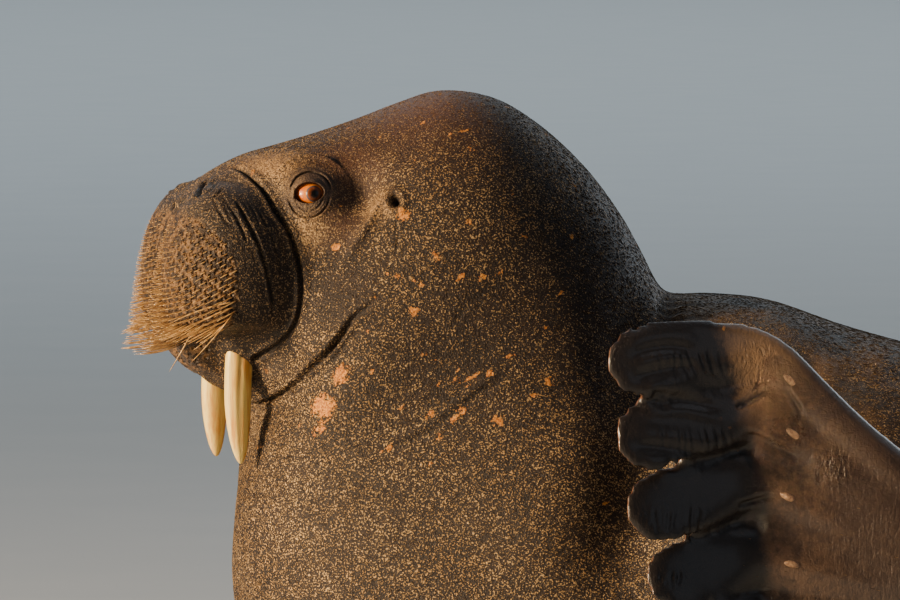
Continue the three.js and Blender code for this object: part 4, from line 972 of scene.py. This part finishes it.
for side, name in zip(SIDES, NAMES):
    t = np.concatenate([np.linspace(0, 0.9, 60), 1 - 0.1 * (1 - np.linspace(0.05, 0.985, 26)) ** 1.3])
    middle = TUSK_ROOT + (TUSK_TIP - TUSK_ROOT) * t[:, None]
    middle[:, 0] -= TUSK_BOW * np.sin(np.pi * t)
    size = (1 - 0.16 * t) * (1 - np.clip((t - 0.52) / 0.48, 0, 1) ** 2.2) ** 0.54
    a = turns(64)
    dent = sum(deep * bell((a - at) / wide) for deep, at, wide in [
        (0.13, 1.5 * np.pi, 0.24), (0.035, 4.05, 0.16), (0.03, 5.5, 0.14), (0.05, 1.6, 0.3)])
    form = size[:, None] * (1 - dent * (1 - 0.6 * t[:, None]))
    rings = middle[:, None] + np.stack([TUSK_OVAL[0] * form * np.cos(a), -TUSK_OVAL[1] * form * np.sin(a),
                                        0 * form], -1)
    shell = skinned(*(pose(p * [1, side, 1], True) for p in (rings, TUSK_ROOT, TUSK_TIP)))
    tusk = joined("tusk_ivory_" + name, [shell])
    grooved = dent / dent.max() * (1 - 0.7 * t[:, None])
    keep(tusk.data, "groove", np.concatenate([[0], grooved.ravel(), [0]]))
    keep(tusk.data, "gum", np.concatenate([[1], np.repeat(smooth((0.42 - t) / 0.30), 64), [0]]))
    tusk.data.materials.append(ivory_finish)
    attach(tusk, "root")
    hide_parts("tusk_" + name)

# Whiskers.
# Some 340 stiff, horny bristles grow in slanting rows out of each pad, short and worn at the top, long and
# curved at the lip. Each is a tapered, bent rod rooted in its own follicle, in a pit of painted shade on the hide.
dice = np.random.default_rng(11)
faces = [tuple(p.vertices) for p in hide.polygons if p.center.x < -0.15 and p.center.z > 0.46]
posed = read(hide)
tree = BVHTree.FromPolygons((posed * MM).tolist(), faces)
pore = np.zeros(len(posed))


def rod(points, radius, sides):
    """A closed shell round a bent line, thinning to a point."""
    way = unit(np.gradient(points, axis=0))
    across = unit(np.cross(way, [0.13, 0.31, 0.94]))
    rings = tube(points, across, np.cross(way, across), radius, radius, turns(sides))[:-1]
    return skinned(rings, last=points[-1])


def root_marks(t, fade, sides):
    """1 at a rod's root, fading towards its point."""
    return [1.0] + np.repeat(1 - smooth(t[:-1] / fade), sides).tolist() + [0.0]


def rooted(p):
    """The nearest place on the hide to a point of the straight head, and its normal."""
    hit = tree.find_nearest(Vector(pose(np.array(p, float), True) * MM))
    return np.array(hit[0]) / MM, np.array(hit[1])


finish = Finish("bristle")
worn = finish.noise(160, 2, 0.5)
bristle_colour = finish.painted((0.76, 0.48, 0.19), (worn.step(0.35, 0.65), (0.42, 0.22, 0.07)),
                                (finish.kept("root") * 0.9, (0.070, 0.032, 0.014)))
bristle = finish.surface(Base_Color=bristle_colour, Roughness=0.28 + (worn - 0.5) * 0.2, Coat_Weight=0.3,
                         Coat_Roughness=0.1, Normal=finish.bump(finish.noise(900, 2, 0.5), 0.0001))
turn_to_pose = pose(np.eye(3), True) - pose(np.zeros(3), True)
ROWS, PER_ROW = 26, 21
LONG_ONES = [  # the left corner's longest bristles: root, length, way and bend
    (-283, -132, 612, 74, (-0.90, -0.16, -0.10), (-0.20, 0.22, -0.46)),
    (-283, -133, 606, 60, (-0.86, -0.18, -0.22), (-0.20, 0.20, -0.50)),
    (-284, -133, 600, 66, (-0.50, -0.25, -0.72), (-0.50, 0.20, -0.30)),
    (-285, -132, 594, 52, (-0.62, -0.20, -0.60), (-0.50, 0.18, -0.24)),
    (-288, -130, 588, 44, (-0.74, -0.18, -0.50), (-0.36, 0.14, -0.16)),
    (-292, -126, 582, 40, (-0.78, -0.16, -0.42), (-0.34, 0.12, -0.10)),
    (-322, -84, 562, 60, (-0.45, -0.02, -0.90), (-0.08, 0.03, 0.08)),
]
for side, name in zip(SIDES, NAMES):
    rods, roots, follicles = [], [], []
    for row in range(ROWS):
        for k in range(PER_ROW):
            s = 3 + 8.2 * k + 4.1 * (row % 2) + dice.uniform(-0.7, 0.7)
            swing = s / 88 * (np.pi / 2) - 0.62
            start = 557 + 5.7 * row
            ahead = PAD_AT[0] - PAD_HALF[0] * np.cos(swing)
            z = start + 0.42 * (ahead - PAD_AT[0] + PAD_HALF[0]) + dice.uniform(-0.4, 0.4)
            level = min(abs(z - PAD_AT[2]) / PAD_HALF[2], 1)
            r = (1 - level**PAD_SQUARE) ** (1 / PAD_SQUARE)
            x = PAD_AT[0] - PAD_HALF[0] * r * np.cos(swing)
            y = PAD_AT[1] + PAD_HALF[1] * r * np.sin(swing)
            if x > np.interp(z, *REAR) + 3 or y < 4 or z > 712 - 0.1 * s or r < 0.25:
                continue
            root, n = rooted((x, side * y, z))
            low, outer, slant = np.clip((700 - start) / 143, 0, 1), smooth((y - 70) / 56), smooth((y - 20) / 50)
            long = 3.2 + 19 * low**1.1 + 26 * low**6
            long *= (0.92 + 0.16 * dice.random()) * (1 - 0.25 * slant * (1 - low) - 0.15 * outer)
            way = np.array([-0.93, side * 0.05, -0.40 + 0.14 * low**3 - 0.10 * slant]) @ turn_to_pose
            way = way - n * min(way @ n, 0.0) + n * (0.10 + 0.04 * dice.random())
            way += dice.normal(size=3) * 0.012
            way = unit(way)
            hook = np.array([-0.25, side * 0.03, 0.62 - 0.25 * low - 0.55 * outer]) @ turn_to_pose
            parts = 8 if long > 16 else 5
            t = np.linspace(0, 1, parts + 1)
            line = root - way * 1.5 + way * (long * t)[:, None] + hook * (long * 0.42 * t**2.2)[:, None]
            thick = (0.60 + 0.24 * low) * (1 - 0.62 * t**2.2)
            sides = 5 if parts == 8 else 4
            rods.append(rod(line, thick, sides))
            follicles.append(root)
            roots += root_marks(t, 0.5, sides)
    for x, y, z, long, way, hook in LONG_ONES if side == -1 else []:
        t = np.linspace(0, 1, 11)
        line = rooted((x, y, z))[0] + np.outer(long * t, way) + np.outer(long * 0.5 * t**2, hook)
        rods.append(rod(line, 0.95 * (1 - 0.7 * t**1.6), 6))
        roots += root_marks(t, 0.2, 6)
    whiskers = joined("whiskers_" + name, rods)
    keep(whiskers.data, "root", roots)
    whiskers.data.materials.append(bristle)
    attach(whiskers, "root")
    # Painted shade in a pit round each follicle, kept on the hide as pore.
    spots = KDTree(len(follicles))
    for i, at in enumerate(follicles):
        spots.insert(at, i)
    spots.balance()
    for i in np.nonzero(MARKS["field"] * (posed[:, 1] * side > -60) > 0.05)[0]:
        pore[i] = max(pore[i], 1 - smooth(max(spots.find(posed[i])[2] - 0.6, 0) / 1.9))
keep(hide, "pore", pore)

# Claws.
# Five small horny claws sit on the back of each flipper, behind the bare tips: blunt, ridged and horn brown.
finish = Finish("claw_horn")
ridge = finish.noise(1.0, 3, 0.6, at=finish.stretched(380, 90, 380))
horn = finish.blend(ridge.step(0.35, 0.7), (0.26, 0.140, 0.075), (0.50, 0.31, 0.18))
claw_horn = finish.surface(Base_Color=horn, Roughness=0.38 + (ridge - 0.5) * 0.3, Coat_Weight=0.3,
                           Coat_Roughness=0.15, Normal=finish.bump(ridge, 0.0005))
skin_tree = BVHTree.FromPolygons((posed * MM).tolist(), [tuple(p.vertices) for p in hide.polygons])
s = np.linspace(-0.985, 0.985, 22)[:, None, None]
spin, full = turns(24)[None, :, None], np.sqrt(1 - np.abs(s) ** 2.6)
for limb, sign, kind in LIMBS:
    part, side = limb.split("_")
    nodes = sorted(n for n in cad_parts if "claw" in n and part in n and side in n)
    nails = []
    for node in nodes:
        solid = read(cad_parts[node].data)
        centre = solid.mean(0)
        hit, up, _, _ = skin_tree.find_nearest(Vector(centre * MM))
        hit, up = np.array(hit) / MM, np.array(up)
        long = np.linalg.svd(solid - centre)[2][0]
        long = unit(long - up * (long @ up))
        long *= np.sign(long @ (centre - wrist_frame(kind, sign)[0]))
        nails.append(skinned(hit + up * 0.3 + long * 9 * s
                             + np.cross(up, long) * 3.7 * full * np.cos(spin) * (1 - 0.16 * s)
                             + up * (2.3 * full * np.sin(spin) - 1.1 * s**2)))
    claws = joined("claws_" + limb, nails)
    claws.data.materials.append(claw_horn)
    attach(claws, "root")
    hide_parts(*nodes)

# Coat.
# The hair is about a centimetre long, flat and sparse, shortest on the face, and missing from the flipper tips.
# It lies back and down along the body. Each tuft is a flat, pointed lock pressed to the hide, joined with the
# rest of its region in one mesh.
corners = np.zeros((len(hide.polygons), 4), np.int64)
for i, polygon in enumerate(hide.polygons):
    v = polygon.vertices
    corners[i] = (v[0], v[1], v[2], v[3] if len(v) > 3 else v[2])
posed, posed_out = read(hide), read(hide, "normal")
quad = posed[corners]
area = sum(np.linalg.norm(np.cross(quad[:, i] - quad[:, 0], quad[:, i + 1] - quad[:, 0]), axis=1) for i in (1, 2)) / 2
middle = straight[corners].mean(1)
share = {k: v[corners].mean(1) for k, v in MARKS.items()}
wanted = (1 - share["bare"]) * (1 - 0.97 * share["hand"]) * (1 - 0.9 * share["field"])
wanted *= (1 - 0.5 * share["muzzle"]) * (1 - 0.6 * share["calm"]) * (1 - share["folded"]) ** 2
wanted *= (0.35 + 0.65 * smooth(middle[:, 2] / 120)) * (middle[:, 2] > 6)
wanted *= smooth((apart(mirrored(middle), EYE_AT * [1, -1, 1]) - 24) / 8)
finish = Finish("hair")
colour, grain, _, _ = hide_colours(finish)
tip, shade = finish.kept("tip"), finish.kept("shade")
# Golden tips on some locks, partly the hair's own colour and partly painted highlight, dimmed under painted shade.
lit = tip * shade.step(0.60, 0.74) * (0.85 - finish.kept("dusk") * 0.7)
hair = finish.painted(colour, (lit, (0.58, 0.345, 0.14)), ((1 - tip) * 0.6, (0.012, 0.008, 0.006)))
hair_finish = finish.surface(Base_Color=hair, Roughness=0.66 + (grain - 0.5) * 0.3, Specular_IOR_Level=0.2,
                             Normal=finish.bump(grain, 0.0002))
COATS = [  # name, lowest and highest x, lowest z, how many tufts, length
    ("coat_head", (-400, -95), 380, 46000, 2.3),
    ("coat_neck", (-400, 90), 0, 49000, 3.0),
    ("coat_shoulder", (90, 420), 0, 48000, 3.8),
    ("coat_back", (420, 1000), 0, 48000, 6.0),
    ("coat_rump", (1000, 2300), 0, 44000, 6.5),
]
taken = np.zeros(len(corners), bool)
for name, (x0, x1), z0, count, length in COATS:
    inside = (middle[:, 0] > x0) & (middle[:, 0] <= x1) & (middle[:, 2] > z0) & ~taken
    taken |= inside
    weight = np.where(inside, area * wanted, 0)
    pick = np.searchsorted(np.cumsum(weight), dice.random(count) * weight.sum())
    a, b = dice.random((2, count))
    w = np.stack([(1 - a) * (1 - b), a * (1 - b), a * b, (1 - a) * b], -1)[..., None]
    root, n, at = ((of[corners[pick]] * w).sum(1) for of in (posed, posed_out, straight))
    n = unit(n)
    head = smooth((120 - at[:, 0]) / 300)[:, None]
    lie = np.array([0.80, 0, -0.60]) * head + np.array([0.97, 0, -0.24]) * (1 - head)
    lie = lie - n * (lie * n).sum(1)[:, None] + dice.normal(size=(count, 3)) * 0.16
    lie -= n * (lie * n).sum(1)[:, None]
    lie /= np.maximum(np.linalg.norm(lie, axis=1, keepdims=True), 1e-6)
    across = np.cross(n, lie)
    raised = dice.uniform(0.05, 0.15, (count, 1))
    long = length * dice.uniform(0.65, 1.25, (count, 1)) * (1 - 0.35 * share["muzzle"][pick][:, None])
    wide = dice.uniform(0.28, 0.50, (count, 1)) * (1 + 0.06 * length)
    root = root - n * 0.35
    points = np.stack([root - across * wide, root + across * wide, root + n * 0.7 + lie * 0.6,
                       root + lie * long + n * (long * raised + 0.2)], 1)
    ids = 4 * np.arange(count)[:, None]
    # Three faces close each lock on its two flanks and above, and one lies against the hide.
    triangles = np.concatenate([ids + [3, 1, 0], ids + [3, 2, 1], ids + [3, 0, 2], ids + [1, 2, 0]], 1).reshape(-1, 3)
    coat = joined(name, [(points.reshape(-1, 3), triangles.tolist())], soft=False)
    for key, value in share.items():
        keep(coat.data, key, np.repeat(value[pick], 4))
    keep(coat.data, "tip", np.tile([0.0, 0.0, 0.1, 1.0], count))
    keep(coat.data, "shade", np.repeat(dice.random(count), 4))
    u = (at[:, 0] - at[:, 0].min()) / np.ptp(at[:, 0])
    v = np.arctan2(at[:, 1], at[:, 2] - 330) / (2 * np.pi) + 0.5
    patch = np.array([[0, 0], [0.003, 0], [0.0015, 0.001], [0.0015, 0.003]])
    spread = np.stack([u, v], -1)[:, None] * 0.996 + patch
    uv = coat.data.uv_layers.new(name="OFBake")
    uv.data.foreach_set("uv", spread.reshape(-1, 2)[triangles.ravel()].astype(np.float32).ravel())
    coat.data.materials.append(hair_finish)
    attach(coat, "root")

# Camera, lights and floor.
# A plain studio: a pale floor, a low warm key light ahead of the animal and a little to its left, a small one on
# the lifted flipper, weak cool fills, and a wide panel over the floor behind. The camera looks at the animal's
# left side from near the floor.
camera = placed("camera", bpy.data.cameras.new("camera"))
bpy.context.scene.camera = camera
RISE, AWAY, AIM_HEIGHT, PICTURE_WIDTH = math.radians(3), 10, 0.604, 1.035
camera.location = (0, -AWAY * math.cos(RISE), AIM_HEIGHT + AWAY * math.sin(RISE))
camera.rotation_euler = (math.pi / 2 - RISE, 0, 0)
camera.data.sensor_width, camera.data.lens = 36, 36 * AWAY / PICTURE_WIDTH
camera.data.clip_end = 2000


def lamp(name, at, aim, size, power, colour):
    made = placed(name, bpy.data.lights.new(name, "AREA"))
    made.location = at
    made.rotation_euler = (Vector(aim) - Vector(at)).to_track_quat("-Z", "Y").to_euler()
    made.data.size, made.data.energy, made.data.color = size, power, colour
    return made


lamp("key", (-5.4, -2.1, 1.75), (0.2, 0, 0.45), 1.2, 1000, (1.0, 0.74, 0.46))
kick = lamp("hand", (-2.6, -3.2, 1.5), (0.325, -0.47, 0.565), 0.15, 0.20, (1.0, 0.78, 0.52))
kick.data.spread = math.radians(5.5)
lamp("top", (1.5, 0.5, 4.5), (0.3, 0, 0.3), 4.5, 24, (0.80, 0.88, 1.0))
lamp("fill", (5.2, -3.8, 2.4), (0.4, 0, 0.4), 3.0, 10, (0.80, 0.88, 1.0))
lamp("rear", (3.4, 4.6, 1.2), (0.6, 0, 0.3), 2.5, 50, (0.86, 0.92, 1.0))
panel = lamp("panel", (0, 45, 12), (0, 45, 0), 40, 7000, (0.84, 0.94, 1.0))
panel.data.shape, panel.data.size_y = "RECTANGLE", 70
world = bpy.data.worlds.new("studio")
bpy.context.scene.world = world
world.use_nodes = True
sky = world.node_tree.nodes["Background"].inputs
sky["Color"].default_value, sky["Strength"].default_value = (0.60, 0.67, 0.74, 1), 0.09
bpy.ops.mesh.primitive_plane_add(size=900, location=(0, 0, 0))
floor = bpy.context.object
floor.name = "floor"
finish = Finish("floor")
tone = finish.blend(finish.noise(3.0, 3, 0.5), (0.50, 0.53, 0.55), (0.56, 0.58, 0.59))
floor.data.materials.append(finish.surface(Base_Color=tone, Roughness=0.6))
